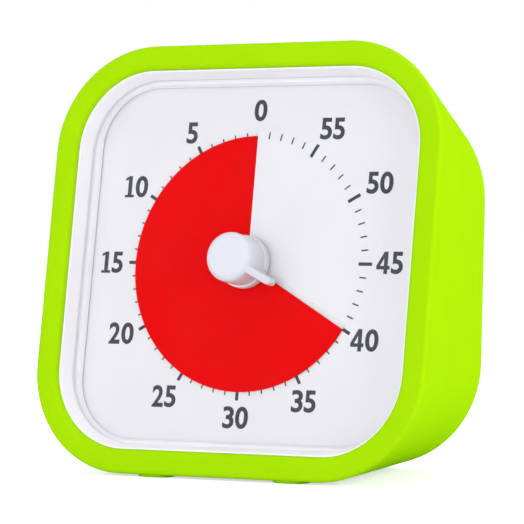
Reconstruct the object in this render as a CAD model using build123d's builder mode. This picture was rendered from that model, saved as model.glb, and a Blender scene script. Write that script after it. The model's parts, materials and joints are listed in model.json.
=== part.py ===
from build123d import *
import os
from math import acos, cos, degrees, pi, radians, sin, tan

# A square visual countdown timer that stands on a desk. A white case sits in a soft silicone
# sleeve. A red disc is threaded through a radial slit in the dial, so that turning the knob
# brings more or less of it in front of the dial.
# Millimetres, +Z up. The dial looks along -Y and leans back. The origin is under the middle of
# the overall box, on the surface that the feet stand on.
# "Height" is measured from the dial's flat rim towards the viewer, so it is negative behind it.

os.makedirs("parts", exist_ok=True)

# ---------------------------------------------------------------- driving dimensions
# overall body
rim_size = 89.0             # the sleeve's front, a rounded square
rim_corner = 21.8
rim_height = 6.7            # the rim's front plane above the dial
back_width = 74.4
back_tall = 77.4
back_corner = 21.1
depth_at_base = 47.0        # along the surface, from the rim's lowest edge to the back
dial_tilt = 10.07           # degrees that the dial leans back
back_tilt = 2.9             # degrees that the back leans out at its top
foot_height = 0.7

# sleeve
sleeve_wall = 2.2
lip_width = 5.0             # the rim's visible width around the front opening
lip_thickness = 2.0
rim_round = 0.9             # bevel around the rim's front
lip_round = 1.1             # bevel around the front opening
back_round = 1.3            # bevel around the back
back_lip_width = 2.5
back_lip_thickness = 1.8
foot_width, foot_depth = 7.8, 8.0
foot_corner = 2.8
front_feet_across = 15.5    # each front foot's middle, out from the middle
front_feet_setback = 0.9    # behind the rim's lowest edge
rear_feet_across = 12.4
rear_feet_setback = 1.5     # in front of the back's lowest edge

# fits
seat_gap = 0.05             # between pieces that sit in or on each other
shaft_gap = 0.05            # radial running clearance of a shaft in its bore
pocket_gap = 0.3            # around a piece that has to come out by hand

# case
case_wall = 2.0
split_depth = 20.0          # the front and rear case meet this far behind the dial
tub_height = 3.3            # the front case's front edge above the dial
tub_wall = 1.0              # around the lens and the dial, at the deck
deck_top = 1.8              # the deck's front face behind the dial
deck_thickness = 1.8
ledge_width = 3.6           # the step that carries the dial's edge

# bezel, lens, spacer
bezel_edge = 0.3            # the bezel's flat front edge, beside the lip
bezel_slope_width = 1.4     # across the bezel's slope, from the sleeve's lip to the lens
lens_top = 2.5
lens_thickness = 1.1
spacer_width = 1.4          # how much of the spacer shows, between the bezel and the dial
window_corner = 12.6
window_flare = 0.7          # the spacer's wall leans out by this much
hub_hole_radius = 5.6       # in the lens

# dial and disc
dial_thickness = 0.3
disc_thickness = 0.2
disc_radius = 26.5
disc_rise = 0.8             # the screw-shaped disc and dial climb this much in one turn
dial_lift = 0.1             # mean height of the dial's middle
dial_bore_radius = 4.8      # the hub's flange goes through it, and its collar hides it
slit_reach = 27.0           # the slit's outer end
slit_width = 0.2
dial_flat_from = 29.6       # outside this radius the dial is flat
strip_width = 0.9           # clear strip along the disc's leading edge
minutes_shown = 40          # where the disc stands at rest
minutes_full = 60

# knob and its shaft
knob_radius = 5.1
knob_top = 9.2
knob_bottom = 2.8
knob_round = 0.7
pointer_reach = 9.5
pointer_width = 1.5
pointer_tip_height = 5.6
pointer_bottom = 2.95
pointer_round = 0.55
pointer_start = 0.6         # inside the knob's edge, where the pointer starts to slope down
pointer_under = 0.35        # below the knob's front, where it starts
collar_radius = 5.4         # turns in the lens's hole
collar_bottom = 1.0
neck_radius = 3.1
key_width = 1.0
key_reach = 3.9
flange_radius = 4.6
flange_top = 1.15           # depth behind the dial
flange_thickness = 0.45
spindle_radius = 1.5
spindle_cap = 1.4           # the knob's front wall over the end of the spindle

# movement: a flat box behind the deck
box_half = 24.0
box_corner = 4.0
box_depth = 9.5
box_wall = 1.0
box_split = 4.8             # the box's two halves meet this far behind its front face
pivot_radius = 0.4
pivot_depth = 0.7
clip_radius = 2.6
clip_thickness = 0.4
washer_radius = 3.4

# gear train: rotor, second, third, centre. Each wheel has a pinion on its own arbor
pinion_teeth = 8
centre_teeth, third_teeth, second_teeth = 100, 96, 96
centre_module, third_module, second_module = 0.22, 0.17, 0.15
tooth_slack = 0.04          # taken off each tooth's thickness
pressure_angle = radians(20)
third_bearing, second_bearing, rotor_bearing = 250.0, 150.0, 90.0   # degrees, seen from the front

# motor
magnet_radius = 3.0
magnet_length = 2.0
rotor_gap = 0.5             # from the magnet to the stator
stator_thickness = 0.8
stator_arm = 3.0
core_thickness = 0.6
coil_radius = 2.3
coil_flange = 2.45
coil_length = 19.0
peg_radius = 0.8

# circuit board
board_length, board_width, board_thickness = 20.0, 14.0, 0.8
crystal_radius, crystal_length = 1.0, 6.0
chip_radius, chip_height = 2.5, 0.9

# battery: one AA cell, lying across the lower back
battery_radius = 7.25
battery_length = 49.5       # without the nub
nub_radius, nub_length = 2.75, 1.0
battery_height = 21.64      # of its axis above the surface
bay_wall = 1.4
bay_clear = 0.5             # around the cell
contact_thickness = 0.5
spring_space = 3.2          # the pressed spring's length
spring_wire = 0.35
spring_turns = 3
spring_radius = 3.4

# battery door, which turns on two stub pins at its lower edge
door_thickness = 1.8
door_overlap = 1.2          # the door laps past the bay's opening by this much
door_pin_radius = 0.6
door_pin_length = 1.0
latch_width, latch_thickness, latch_reach = 8.0, 1.0, 2.3
latch_inset = 0.9           # from the bay's upper wall to the latch
notch_radius, notch_depth = 4.5, 1.1

# sound switch and buzzer, under the rear case's upper half
switch_across, switch_up = 20.0, 3.0    # its place on the back, from the back's middle
switch_length, switch_width, switch_depth = 9.0, 4.4, 3.6
switch_travel = 2.5
lever_length, lever_width, lever_proud = 3.0, 2.2, 0.9
buzzer_radius, buzzer_depth = 9.0, 3.6
buzzer_up = 19.0
slot_count, slot_pitch, slot_width, slot_length = 5, 2.6, 1.2, 12.0

# screws
screw_radius, screw_head_radius, screw_head_depth = 1.1, 2.2, 1.6
screw_length = 9.0
post_radius = 2.9
upper_screw_up = 24.8       # on the back, from the back's middle
lower_screw_across = 14.0
screw_bite = 5.0            # length of a case screw in the front case
box_screw_radius, box_screw_head = 0.8, 1.5
box_screw_inset = 4.0       # from the box's outside to the screws

# wires
wire_radius = 0.5

# ---------------------------------------------------------------- planes and places
rim_half = rim_size / 2
tilt, lean = radians(dial_tilt), radians(back_tilt)
dial_up = foot_height + rim_half * cos(tilt) - rim_height * sin(tilt)
front_reach = rim_half * sin(tilt) + rim_height * cos(tilt)
back_reach = depth_at_base - front_reach + back_tall * sin(lean)
dial_y = (front_reach - back_reach) / 2
front_y = dial_y - front_reach

face = Plane(origin=(0, dial_y, dial_up), x_dir=(1, 0, 0), z_dir=(0, -cos(tilt), sin(tilt)))
back_origin = (
    0,
    front_y + depth_at_base + back_tall / 2 * sin(lean),
    foot_height + back_tall / 2 * cos(lean),
)
back = Plane(origin=back_origin, x_dir=(-1, 0, 0), z_dir=(0, cos(lean), -sin(lean)))
back_seen_from_front = Plane(
    origin=back_origin, x_dir=(1, 0, 0), z_dir=(0, -cos(lean), sin(lean))
)

corner_centre = rim_half - rim_corner
lip_under = rim_height - lip_thickness


def at_deck(front_size, back_size):
    """What a size of the tapered body comes to at the deck."""
    return front_size + (back_size - front_size) * (rim_height + deck_top) / depth_at_base


back_half = min(back_width, back_tall) / 2
tub_half = at_deck(rim_half, back_half) - sleeve_wall - seat_gap - tub_wall
tub_corner = tub_half - at_deck(corner_centre, back_half - back_corner)
lip_edge_height = rim_height - lip_round
bezel_low_half = rim_half - lip_width - bezel_slope_width
window_half = bezel_low_half - spacer_width
rest_angle = 2 * pi * minutes_shown / minutes_full


def on_face(across, up, height=0.0):
    """A point given on the dial, in the part's own frame."""
    return face.from_local_coords(Vector(across, up, height))


def polar(radius, bearing):
    """A place on the dial: bearing in degrees, counter-clockwise from the right."""
    return radius * cos(radians(bearing)), radius * sin(radians(bearing))


def from_zero(radius, angle, height=0.0):
    """A point at this angle in radians, counter-clockwise from the 0 mark."""
    return on_face(-radius * sin(angle), radius * cos(angle), height)


# ---------------------------------------------------------------- building blocks
def rounded_prism(half, corner, low, high, plane=face, mode=Mode.ADD):
    """A rounded square from one height to another."""
    with BuildSketch(plane.offset(low)) as outline:
        RectangleRounded(2 * half, 2 * half, corner)
    extrude(outline.sketch, amount=high - low, mode=mode)


def bar(across, up, low, high, plane=face, mode=Mode.ADD):
    """A box over the rectangle between two pairs of limits."""
    with BuildSketch(plane.offset(low)) as outline:
        with Locations(((across[0] + across[1]) / 2, (up[0] + up[1]) / 2)):
            Rectangle(across[1] - across[0], up[1] - up[0])
    extrude(outline.sketch, amount=high - low, mode=mode)


def rod(radius, low, high, place=(0, 0), plane=face, mode=Mode.ADD):
    """A cylinder from one height to another."""
    with BuildSketch(plane.offset(low)) as outline:
        with Locations(place):
            Circle(radius)
    extrude(outline.sketch, amount=high - low, mode=mode)


def taper(inset, front=rim_height, rear=0.0, low=None, front_bevel=0.0, back_bevel=0.0):
    """The body's tapered shape, moved in by inset. It is cut at a front height, at a depth in
    front of the back, and, where low is given, at that height."""
    with BuildPart() as shape:
        for bevel in sorted({front_bevel, 0.0}, reverse=True):
            with BuildSketch(face.offset(rim_height - front_bevel + bevel)):
                half = rim_half - inset - bevel
                RectangleRounded(2 * half, 2 * half, rim_corner - inset - bevel)
        for bevel in sorted({back_bevel, 0.0}):
            with BuildSketch(back_seen_from_front.offset(back_bevel - bevel)):
                RectangleRounded(
                    back_width - 2 * (inset + bevel),
                    back_tall - 2 * (inset + bevel),
                    back_corner - inset - bevel,
                )
        loft(ruled=True)
        if front < rim_height:
            split(bisect_by=face.offset(front), keep=Keep.BOTTOM)
        if rear > 0:
            split(bisect_by=back.offset(-rear), keep=Keep.BOTTOM)
        if low is not None:
            split(bisect_by=face.offset(low), keep=Keep.TOP)
    return shape.part


def flare(low, low_half, low_corner, high, slope, mode=Mode.SUBTRACT):
    """A rounded square that widens with height."""
    growth = slope * (high - low)
    with BuildPart(mode=Mode.PRIVATE) as funnel:
        with BuildSketch(face.offset(low)):
            RectangleRounded(2 * low_half, 2 * low_half, low_corner)
        with BuildSketch(face.offset(high)):
            half = low_half + growth
            RectangleRounded(2 * half, 2 * half, low_corner + growth)
        loft(ruled=True)
    add(funnel.part, mode=mode)


def spread(low, high, count):
    """Evenly spaced values, both ends included."""
    return [low + (high - low) * k / (count - 1) for k in range(count)]


def gear_outline(module, teeth, place, bearing, addendum):
    """An involute gear's outline, with one tooth centred on the bearing in degrees."""
    pitch = module * teeth / 2
    base, tip, root = pitch * cos(pressure_angle), pitch + addendum * module, pitch - 1.25 * module
    involute = tan(pressure_angle) - pressure_angle
    radii = spread(max(base, root), tip, 4)
    if root < base:
        radii.insert(0, root)

    def half_angle(radius):
        turn = acos(min(1.0, base / radius))
        return pi / (2 * teeth) - tooth_slack / (2 * pitch) + involute - (tan(turn) - turn)

    points = []
    for tooth in range(teeth):
        middle = radians(bearing) + 2 * pi * tooth / teeth
        for side in (-1, 1):
            for radius in radii if side < 0 else radii[::-1]:
                angle = middle + side * half_angle(max(radius, base))
                points.append((place[0] + radius * cos(angle), place[1] + radius * sin(angle)))
    return points


def gear(module, teeth, low, high, place, bearing, addendum=1.0):
    """A toothed wheel; its tooth on the bearing points at the wheel it meshes with."""
    with BuildSketch(face.offset(low)) as outline:
        with BuildLine():
            Polyline(*gear_outline(module, teeth, place, bearing, addendum), close=True)
        make_face()
    extrude(outline.sketch, amount=high - low)


def finish(piece, name):
    """Label a finished piece and write it."""
    piece.part.label = name
    export_step(piece.part, f"parts/{name}.step")


# ---------------------------------------------------------------- sleeve
with BuildPart() as silicone_sleeve:
    add(taper(0, front_bevel=rim_round, back_bevel=back_round))
    add(
        taper(sleeve_wall, front=lip_under, rear=back_lip_thickness),
        mode=Mode.SUBTRACT,
    )
    rounded_prism(
        rim_half - lip_width, rim_corner - lip_width, tub_height, rim_height + 1,
        mode=Mode.SUBTRACT,
    )
    flare(lip_edge_height, rim_half - lip_width, rim_corner - lip_width, rim_height + 1, 1.0)
    with BuildSketch(back.offset(-back_lip_thickness - 1)) as back_opening:
        RectangleRounded(
            back_width - 2 * sleeve_wall - 2 * back_lip_width,
            back_tall - 2 * sleeve_wall - 2 * back_lip_width,
            back_corner - sleeve_wall - back_lip_width,
        )
    extrude(back_opening.sketch, amount=back_lip_thickness + 2, mode=Mode.SUBTRACT)
    front_feet_y = front_y + front_feet_setback + foot_depth / 2
    rear_feet_y = front_y + depth_at_base - rear_feet_setback - foot_depth / 2
    with BuildSketch(Plane.XY) as feet:
        for across, foot_y in (front_feet_across, front_feet_y), (rear_feet_across, rear_feet_y):
            with Locations((-across, foot_y), (across, foot_y)):
                RectangleRounded(foot_width, foot_depth, foot_corner)
    extrude(feet.sketch, amount=foot_height + sleeve_wall / 2)
finish(silicone_sleeve, "silicone_sleeve")

# ---------------------------------------------------------------- bezel, lens, spacer
case_inset = sleeve_wall + seat_gap
nose_half = rim_half - lip_width - seat_gap
nose_slope = (nose_half - bezel_low_half) / (lip_edge_height - lens_top)
nose_overshoot = 0.5

with BuildPart() as bezel_ring:
    add(taper(case_inset, front=lip_under - seat_gap, low=tub_height + seat_gap))
    rounded_prism(
        nose_half, nose_half - corner_centre, lens_top + seat_gap, lip_edge_height
    )
    flare(
        lens_top - nose_overshoot,
        bezel_low_half - nose_slope * nose_overshoot,
        bezel_low_half - nose_slope * nose_overshoot - corner_centre,
        lip_edge_height + nose_overshoot,
        nose_slope * (1 - bezel_edge / (nose_half - bezel_low_half)),
    )
finish(bezel_ring, "bezel_ring")

inner_half = tub_half - seat_gap
inner_corner = tub_corner - seat_gap

with BuildPart() as lens:
    rounded_prism(inner_half, inner_corner, lens_top - lens_thickness, lens_top)
    rod(hub_hole_radius, 0, lens_top + 1, mode=Mode.SUBTRACT)
finish(lens, "lens")

spacer_top = lens_top - lens_thickness - seat_gap
with BuildPart() as spacer_ring:
    rounded_prism(inner_half, inner_corner, seat_gap, spacer_top)
    flare(0, window_half, window_corner, lens_top, window_flare / spacer_top)
finish(spacer_ring, "spacer_ring")

# ---------------------------------------------------------------- dial and disc
# Both are one turn of the same shallow screw surface. The dial is cut along the 0 mark, with
# its left edge low and its right edge high, and is flat near its rim. The disc lies half a
# climb in front of the dial where it shows, and half a climb behind it everywhere else.
angle_steps = 96


def dial_blend(radius):
    """1 in the dial's middle, falling smoothly to 0 where it is flat."""
    share = min(1.0, max(0.0, (radius - slit_reach) / (dial_flat_from - slit_reach)))
    return 1 - share * share * (3 - 2 * share)


def dial_surface(radius, angle):
    return dial_blend(radius) * (disc_rise * (angle / (2 * pi) - 0.5) + dial_lift)


def disc_surface(_, angle):
    middle_gap = (disc_thickness - dial_thickness) / 2
    return disc_rise * angle / (2 * pi) + dial_lift + middle_gap


def sheet(radii, low_angle, high_angle, surface, thickness, mode=Mode.ADD):
    """A thin sheet whose front lies on the surface. Each end angle may depend on the radius."""
    rows = []
    for step in range(angle_steps + 1):
        share = step / angle_steps
        row = []
        for radius in radii:
            start, end = low_angle(radius), high_angle(radius)
            angle = start + share * (end - start)
            row.append(from_zero(radius, angle, surface(radius, angle)))
        rows.append(row)
    front = Face.make_surface_from_array_of_points(rows, tol=1e-3, max_deg=3)
    extrude(front, amount=thickness, dir=-face.z_dir, mode=mode)


plate_overlap = 0.8         # the flat plate runs under the curved middle's rim by this much
plate_skin = 0.02
tongue_width = 1.2          # bridges the slit between its end and the flat rim
with BuildPart() as dial_plate:
    with BuildSketch(face.offset(-dial_thickness + plate_skin)) as rim_plate:
        RectangleRounded(2 * inner_half, 2 * inner_half, inner_corner)
        Circle(dial_flat_from, mode=Mode.SUBTRACT)
        with Locations((0, (slit_reach + dial_flat_from + plate_overlap) / 2)):
            Rectangle(tongue_width, dial_flat_from + plate_overlap - slit_reach)
    extrude(rim_plate.sketch, amount=dial_thickness - 2 * plate_skin)
    sheet(
        spread(dial_bore_radius, slit_reach, 4)[:-1]
        + spread(slit_reach - 0.5, dial_flat_from + plate_overlap, 16),
        lambda radius: slit_width / 2 / radius,
        lambda radius: 2 * pi - slit_width / 2 / radius,
        dial_surface,
        dial_thickness,
    )
finish(dial_plate, "dial_plate")

disc_bore = neck_radius + shaft_gap
with BuildPart() as time_disc:
    sheet(
        spread(disc_bore, disc_radius, 6),
        lambda radius: rest_angle - 2 * pi,
        lambda radius: rest_angle,
        disc_surface,
        disc_thickness,
    )
    key_bearing = 90 + degrees(rest_angle) - 180
    with BuildSketch(face.offset(-disc_rise - 1)) as key_slot:
        with Locations(polar((disc_bore + key_reach) / 2, key_bearing)):
            Rectangle(
                key_reach - disc_bore + 1, key_width + 2 * shaft_gap, rotation=key_bearing
            )
    extrude(key_slot.sketch, amount=2 * disc_rise + 2, mode=Mode.SUBTRACT)
finish(time_disc, "time_disc")

with BuildPart() as edge_strip:
    sheet(
        spread(collar_radius + pocket_gap, disc_radius, 6),
        lambda radius: rest_angle,
        lambda radius: rest_angle + strip_width / radius,
        disc_surface,
        disc_thickness,
    )
finish(edge_strip, "edge_strip")

# ---------------------------------------------------------------- knob and shaft
pointer_bearing = 90 + degrees(rest_angle)
pointer_way = face.x_dir * cos(radians(pointer_bearing)) + face.y_dir * sin(
    radians(pointer_bearing)
)
pointer_plane = Plane(
    origin=face.origin, x_dir=pointer_way, z_dir=pointer_way.cross(face.z_dir)
)

with BuildPart() as knob:
    rod(knob_radius, knob_bottom, knob_top)
    fillet(knob.edges().filter_by(GeomType.CIRCLE).sort_by(face.location.z_axis)[-1], knob_round)
    with BuildSketch(pointer_plane) as fin:
        with BuildLine():
            FilletPolyline(
                (0, pointer_bottom),
                (pointer_reach, pointer_bottom),
                (pointer_reach, pointer_tip_height),
                (knob_radius - pointer_start, knob_top - pointer_under),
                (0, knob_top - pointer_under),
                radius=pointer_round,
                close=True,
            )
        make_face()
    extrude(fin.sketch, amount=pointer_width / 2, both=True)
    rod(spindle_radius + shaft_gap, knob_bottom - 1, knob_top - spindle_cap, mode=Mode.SUBTRACT)
finish(knob, "knob")

with BuildPart() as disc_hub:
    rod(collar_radius, collar_bottom, knob_bottom - seat_gap)
    rod(neck_radius, -flange_top, collar_bottom)
    rod(flange_radius, -flange_top - flange_thickness, -flange_top)
    with BuildSketch(face.offset(-flange_top)) as key:
        with Locations(polar(key_reach / 2, key_bearing)):
            Rectangle(key_reach, key_width, rotation=key_bearing)
    extrude(key.sketch, amount=flange_top + collar_bottom)
    rod(spindle_radius + shaft_gap, -flange_top - 1, knob_bottom, mode=Mode.SUBTRACT)
finish(disc_hub, "disc_hub")

box_front = deck_top + deck_thickness + seat_gap
box_joint = box_front + box_split
box_rear = box_front + box_depth
room_front = box_front + box_wall       # the movement's inside, as depths
room_rear = box_rear - box_wall
shoulder_radius, shoulder_length = 2.6, 0.35
shoulder_play = 0.15
collar_ring_radius, collar_ring_length = 2.4, 0.7
wheel_play = 0.1
centre_wheel_thickness = 0.95
washer_space = 0.45
shoulder_front = room_front + shoulder_play
centre_front = shoulder_front + shoulder_length + wheel_play / 2
centre_back = centre_front + centre_wheel_thickness
washer_back = centre_back + wheel_play / 2 + washer_space
clip_front = box_rear + shoulder_play
clip_groove_radius = 1.1

with BuildPart() as spindle:
    rod(spindle_radius, -clip_front - clip_thickness - 0.5, knob_top - spindle_cap - seat_gap)
    rod(shoulder_radius, -shoulder_front - shoulder_length, -shoulder_front)
    groove = clip_thickness + 2 * seat_gap
    with BuildSketch(face.offset(-clip_front - groove + seat_gap)) as groove_ring:
        Circle(spindle_radius + 0.5)
        Circle(clip_groove_radius, mode=Mode.SUBTRACT)
    extrude(groove_ring.sketch, amount=groove, mode=Mode.SUBTRACT)
finish(spindle, "spindle")

with BuildPart() as spindle_clip:
    with BuildSketch(face.offset(-clip_front - clip_thickness)) as clip_shape:
        Circle(clip_radius)
        Circle(clip_groove_radius + shaft_gap, mode=Mode.SUBTRACT)
        with Locations((clip_radius / 2, 0)):
            Rectangle(clip_radius, 1.6 * clip_groove_radius, mode=Mode.SUBTRACT)
    extrude(clip_shape.sketch, amount=clip_thickness)
finish(spindle_clip, "spindle_clip")

with BuildPart() as clutch_washer:
    washer_low = centre_back + wheel_play / 2
    washer_bore = spindle_radius + shaft_gap
    washer_sheet = 0.2
    with BuildSketch(Plane(origin=face.origin, x_dir=face.x_dir, z_dir=-face.y_dir)) as dish:
        with BuildLine():
            Polyline(
                (washer_bore, -washer_back),
                (washer_bore, -washer_back + washer_sheet),
                (washer_radius, -washer_low),
                (washer_radius, -washer_low - washer_sheet),
                close=True,
            )
        make_face()
    revolve(dish.sketch, axis=Axis(face.origin, face.z_dir))
finish(clutch_washer, "clutch_washer")

with BuildPart() as clutch_collar:
    rod(collar_ring_radius, -washer_back - seat_gap - collar_ring_length, -washer_back - seat_gap)
    rod(spindle_radius + 0.01, -box_rear, 0, mode=Mode.SUBTRACT)
finish(clutch_collar, "clutch_collar")

# ---------------------------------------------------------------- gear train
third_place = polar(centre_module * (centre_teeth + pinion_teeth) / 2, third_bearing)
second_step = polar(third_module * (third_teeth + pinion_teeth) / 2, second_bearing)
second_place = third_place[0] + second_step[0], third_place[1] + second_step[1]
rotor_step = polar(second_module * (second_teeth + pinion_teeth) / 2, rotor_bearing)
rotor_place = second_place[0] + rotor_step[0], second_place[1] + rotor_step[1]
wheel_addendum = 0.8
arbor_radius = pivot_radius - shaft_gap
pivot_play = 0.1
wheel_thickness = 0.6
level_gap = 0.25            # between wheels that pass over each other
pinion_room = 0.55

third_front = washer_back + seat_gap + wheel_play
third_back = third_front + wheel_thickness
second_front = third_back + level_gap + pinion_room
second_back = second_front + wheel_thickness
magnet_front = second_back + 2 * level_gap
magnet_back = magnet_front + magnet_length
pinion_root = 0.1           # a pinion runs this far into its own wheel's face
pinion_past = 0.2           # and this far past the wheel that it meshes with


def arbor(place):
    """A thin axle with its ends in the two halves of the movement's box."""
    reach = pivot_depth - pivot_play
    rod(arbor_radius, -room_rear - reach, -room_front + reach, place)


with BuildPart() as centre_wheel:
    gear(
        centre_module, centre_teeth, -centre_back, -centre_front, (0, 0),
        third_bearing + 180 / centre_teeth, wheel_addendum,
    )
    rod(spindle_radius + shaft_gap, -box_rear, 0, mode=Mode.SUBTRACT)
finish(centre_wheel, "centre_wheel")

with BuildPart() as third_wheel:
    gear(
        third_module, third_teeth, -third_back, -third_front, third_place,
        second_bearing + 180 / third_teeth, wheel_addendum,
    )
    gear(
        centre_module, pinion_teeth, -third_front - pinion_root, -centre_front + pinion_past, third_place,
        third_bearing + 180,
    )
    arbor(third_place)
finish(third_wheel, "third_wheel")

with BuildPart() as second_wheel:
    gear(
        second_module, second_teeth, -second_back, -second_front, second_place,
        rotor_bearing + 180 / second_teeth, wheel_addendum,
    )
    gear(
        third_module, pinion_teeth, -second_front - pinion_root, -third_front + pinion_past, second_place,
        second_bearing + 180,
    )
    arbor(second_place)
finish(second_wheel, "second_wheel")

rotor_hub_radius = 1.0
with BuildPart() as rotor:
    gear(
        second_module, pinion_teeth, -magnet_front + pinion_root, -second_front + pinion_past, rotor_place,
        rotor_bearing + 180,
    )
    rod(rotor_hub_radius, -magnet_back, -magnet_front, rotor_place)
    arbor(rotor_place)
finish(rotor, "rotor")

with BuildPart() as rotor_magnet:
    rod(magnet_radius, -magnet_back, -magnet_front, rotor_place)
    rod(rotor_hub_radius + 0.01, -box_rear, 0, rotor_place, mode=Mode.SUBTRACT)
finish(rotor_magnet, "rotor_magnet")

# ---------------------------------------------------------------- motor
stator_front = magnet_front + (magnet_length - stator_thickness) / 2
stator_back = stator_front + stator_thickness
hole_radius = magnet_radius + rotor_gap
pole_neck, pole_side = 0.5, 1.4     # the stator's narrowest widths beside its hole
pole_left = rotor_place[0] - hole_radius - pole_side
pole_right = rotor_place[0] + hole_radius + pole_side
pole_low = rotor_place[1] - hole_radius - pole_neck
pole_high = rotor_place[1] + hole_radius + pole_neck
arm_right = box_half - 12.0
core_top = box_half - 7.0
core_middle = core_top - stator_arm / 2
core_back = stator_front - seat_gap
core_front = core_back - core_thickness
peg_places = (pole_left + stator_arm / 2, core_middle), (arm_right - stator_arm / 2, core_middle)

with BuildPart() as stator:
    for across, up in (
        ((pole_left, pole_right), (pole_low, pole_high)),
        ((pole_left, pole_left + stator_arm), (pole_low, core_top)),
        ((pole_right - 1, arm_right), (pole_high - stator_arm, pole_high)),
        ((arm_right - stator_arm, arm_right), (pole_high - stator_arm, core_top)),
    ):
        bar(across, up, -stator_back, -stator_front)
    rod(hole_radius, -box_rear, 0, rotor_place, mode=Mode.SUBTRACT)
    for place in peg_places:
        rod(peg_radius + shaft_gap, -box_rear, 0, place, mode=Mode.SUBTRACT)
finish(stator, "stator")

with BuildPart() as coil_core:
    bar((pole_left, arm_right), (core_top - stator_arm, core_top), -core_back, -core_front)
    for place in peg_places:
        rod(peg_radius + shaft_gap, -box_rear, 0, place, mode=Mode.SUBTRACT)
finish(coil_core, "coil_core")

coil_middle = (pole_left + stator_arm + arm_right - stator_arm) / 2
coil_plane = Plane(
    origin=on_face(coil_middle, core_middle, -(core_front + core_back) / 2),
    x_dir=face.y_dir,
    z_dir=face.x_dir,
)
barrel_radius = 1.75
bobbin_end = 0.6
with BuildPart() as coil_bobbin:
    rod(barrel_radius, -coil_length / 2, coil_length / 2, plane=coil_plane)
    for end in (-coil_length / 2, coil_length / 2 - bobbin_end):
        rounded_prism(coil_flange, bobbin_end, end, end + bobbin_end, plane=coil_plane)
    bar(
        (-stator_arm / 2 - seat_gap, stator_arm / 2 + seat_gap),
        (-core_thickness / 2 - seat_gap, core_thickness / 2 + seat_gap),
        -coil_length, coil_length, plane=coil_plane, mode=Mode.SUBTRACT,
    )
finish(coil_bobbin, "coil_bobbin")

with BuildPart() as coil_winding:
    reach = coil_length / 2 - bobbin_end - seat_gap
    rod(coil_radius, -reach, reach, plane=coil_plane)
    rod(barrel_radius + 0.02, -coil_length, coil_length, plane=coil_plane, mode=Mode.SUBTRACT)
finish(coil_winding, "coil_winding")

# ---------------------------------------------------------------- movement box
box_screw_out = box_half - box_screw_inset
box_screw_places = [
    (across, up)
    for across in (-box_screw_out, box_screw_out)
    for up in (-box_screw_out, box_screw_out)
]
box_post_radius = 2.2
arbor_places = third_place, second_place, rotor_place
board_inset = 3.0           # from the box's outside to the board
board_right = box_half - board_inset
board_left = board_right - board_length
board_low = -box_half + board_inset
board_back = room_rear - 0.5
board_front = board_back - board_thickness
wire_depth = board_front - seat_gap - wire_radius
wire_entry_up = -box_half + 7.0     # where the battery wires enter the box's two sides
wire_entry_gap = 0.4
buzzer_hole_place = board_right - 7.0, board_low + board_width - 1.2
buzzer_hole_radius = 1.8
peg_shoulder_radius = 1.4
peg_past = 0.5              # the pegs stand in front of the coil's core by this much
rest_radius = 1.2
rest_inset = 1.2            # from the stator's and the board's edges to their rests

with BuildPart() as movement_front:
    rounded_prism(box_half, box_corner, -box_joint, -box_front)
    rounded_prism(
        box_half - box_wall, box_corner - box_wall, -box_joint - 1, -room_front,
        mode=Mode.SUBTRACT,
    )
    for place in box_screw_places:
        rod(box_post_radius, -box_joint, -room_front, place)
        rod(box_screw_radius + shaft_gap, -box_rear, 0, place, mode=Mode.SUBTRACT)
    rod(spindle_radius + shaft_gap, -box_joint, 0, mode=Mode.SUBTRACT)
    for place in arbor_places:
        rod(pivot_radius, -room_front - 1, -room_front + pivot_depth, place, mode=Mode.SUBTRACT)
finish(movement_front, "movement_front")

with BuildPart() as movement_rear:
    rounded_prism(box_half, box_corner, -box_rear, -box_joint - seat_gap)
    rounded_prism(
        box_half - box_wall, box_corner - box_wall, -room_rear, -box_joint + 1,
        mode=Mode.SUBTRACT,
    )
    for place in box_screw_places:
        rod(box_post_radius, -room_rear, -box_joint - seat_gap, place)
        rod(box_screw_radius + shaft_gap, -box_rear - 1, 0, place, mode=Mode.SUBTRACT)
    rod(spindle_radius + shaft_gap, -box_rear - 1, 0, mode=Mode.SUBTRACT)
    for place in arbor_places:
        rod(pivot_radius, -room_rear - pivot_depth, -room_rear + 1, place, mode=Mode.SUBTRACT)
    for place in peg_places:
        rod(peg_shoulder_radius, -room_rear, -stator_back - seat_gap, place)
        rod(peg_radius, -room_rear, -core_front + peg_past, place)
    stator_rest = pole_left + rest_inset, pole_low + rest_inset
    rod(rest_radius, -room_rear, -stator_back - seat_gap, stator_rest)
    for place in (
        (board_left + rest_inset, board_low + rest_inset),
        (board_left + rest_inset, board_low + board_width - rest_inset),
        (board_right - rest_inset, board_low + board_width - rest_inset),
    ):
        rod(rest_radius, -room_rear, -board_back - seat_gap, place)
    entry_half = wire_radius + wire_entry_gap
    for side in (-1, 1):
        bar(
            sorted((side * (box_half - 2 * box_wall), side * (box_half + 1))),
            (wire_entry_up - entry_half, wire_entry_up + entry_half),
            -wire_depth - entry_half, -box_joint + 1, mode=Mode.SUBTRACT,
        )
    rod(buzzer_hole_radius, -box_rear - 1, -room_rear + 1, buzzer_hole_place, mode=Mode.SUBTRACT)
finish(movement_rear, "movement_rear")

with BuildPart() as circuit_board:
    bar(
        (board_left, board_right), (board_low, board_low + board_width),
        -board_back, -board_front,
    )
    for place in box_screw_places:
        rod(box_post_radius + pocket_gap, -box_rear, 0, place, mode=Mode.SUBTRACT)
finish(circuit_board, "circuit_board")

crystal_plane = Plane(
    origin=on_face(
        board_left + 4, board_low + board_width - 2.2, -board_front + seat_gap + crystal_radius
    ),
    x_dir=face.y_dir,
    z_dir=face.x_dir,
)
with BuildPart() as quartz_crystal:
    rod(crystal_radius, 0, crystal_length, plane=crystal_plane)
    fillet(quartz_crystal.edges().filter_by(GeomType.CIRCLE), 0.25)
finish(quartz_crystal, "quartz_crystal")

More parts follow.
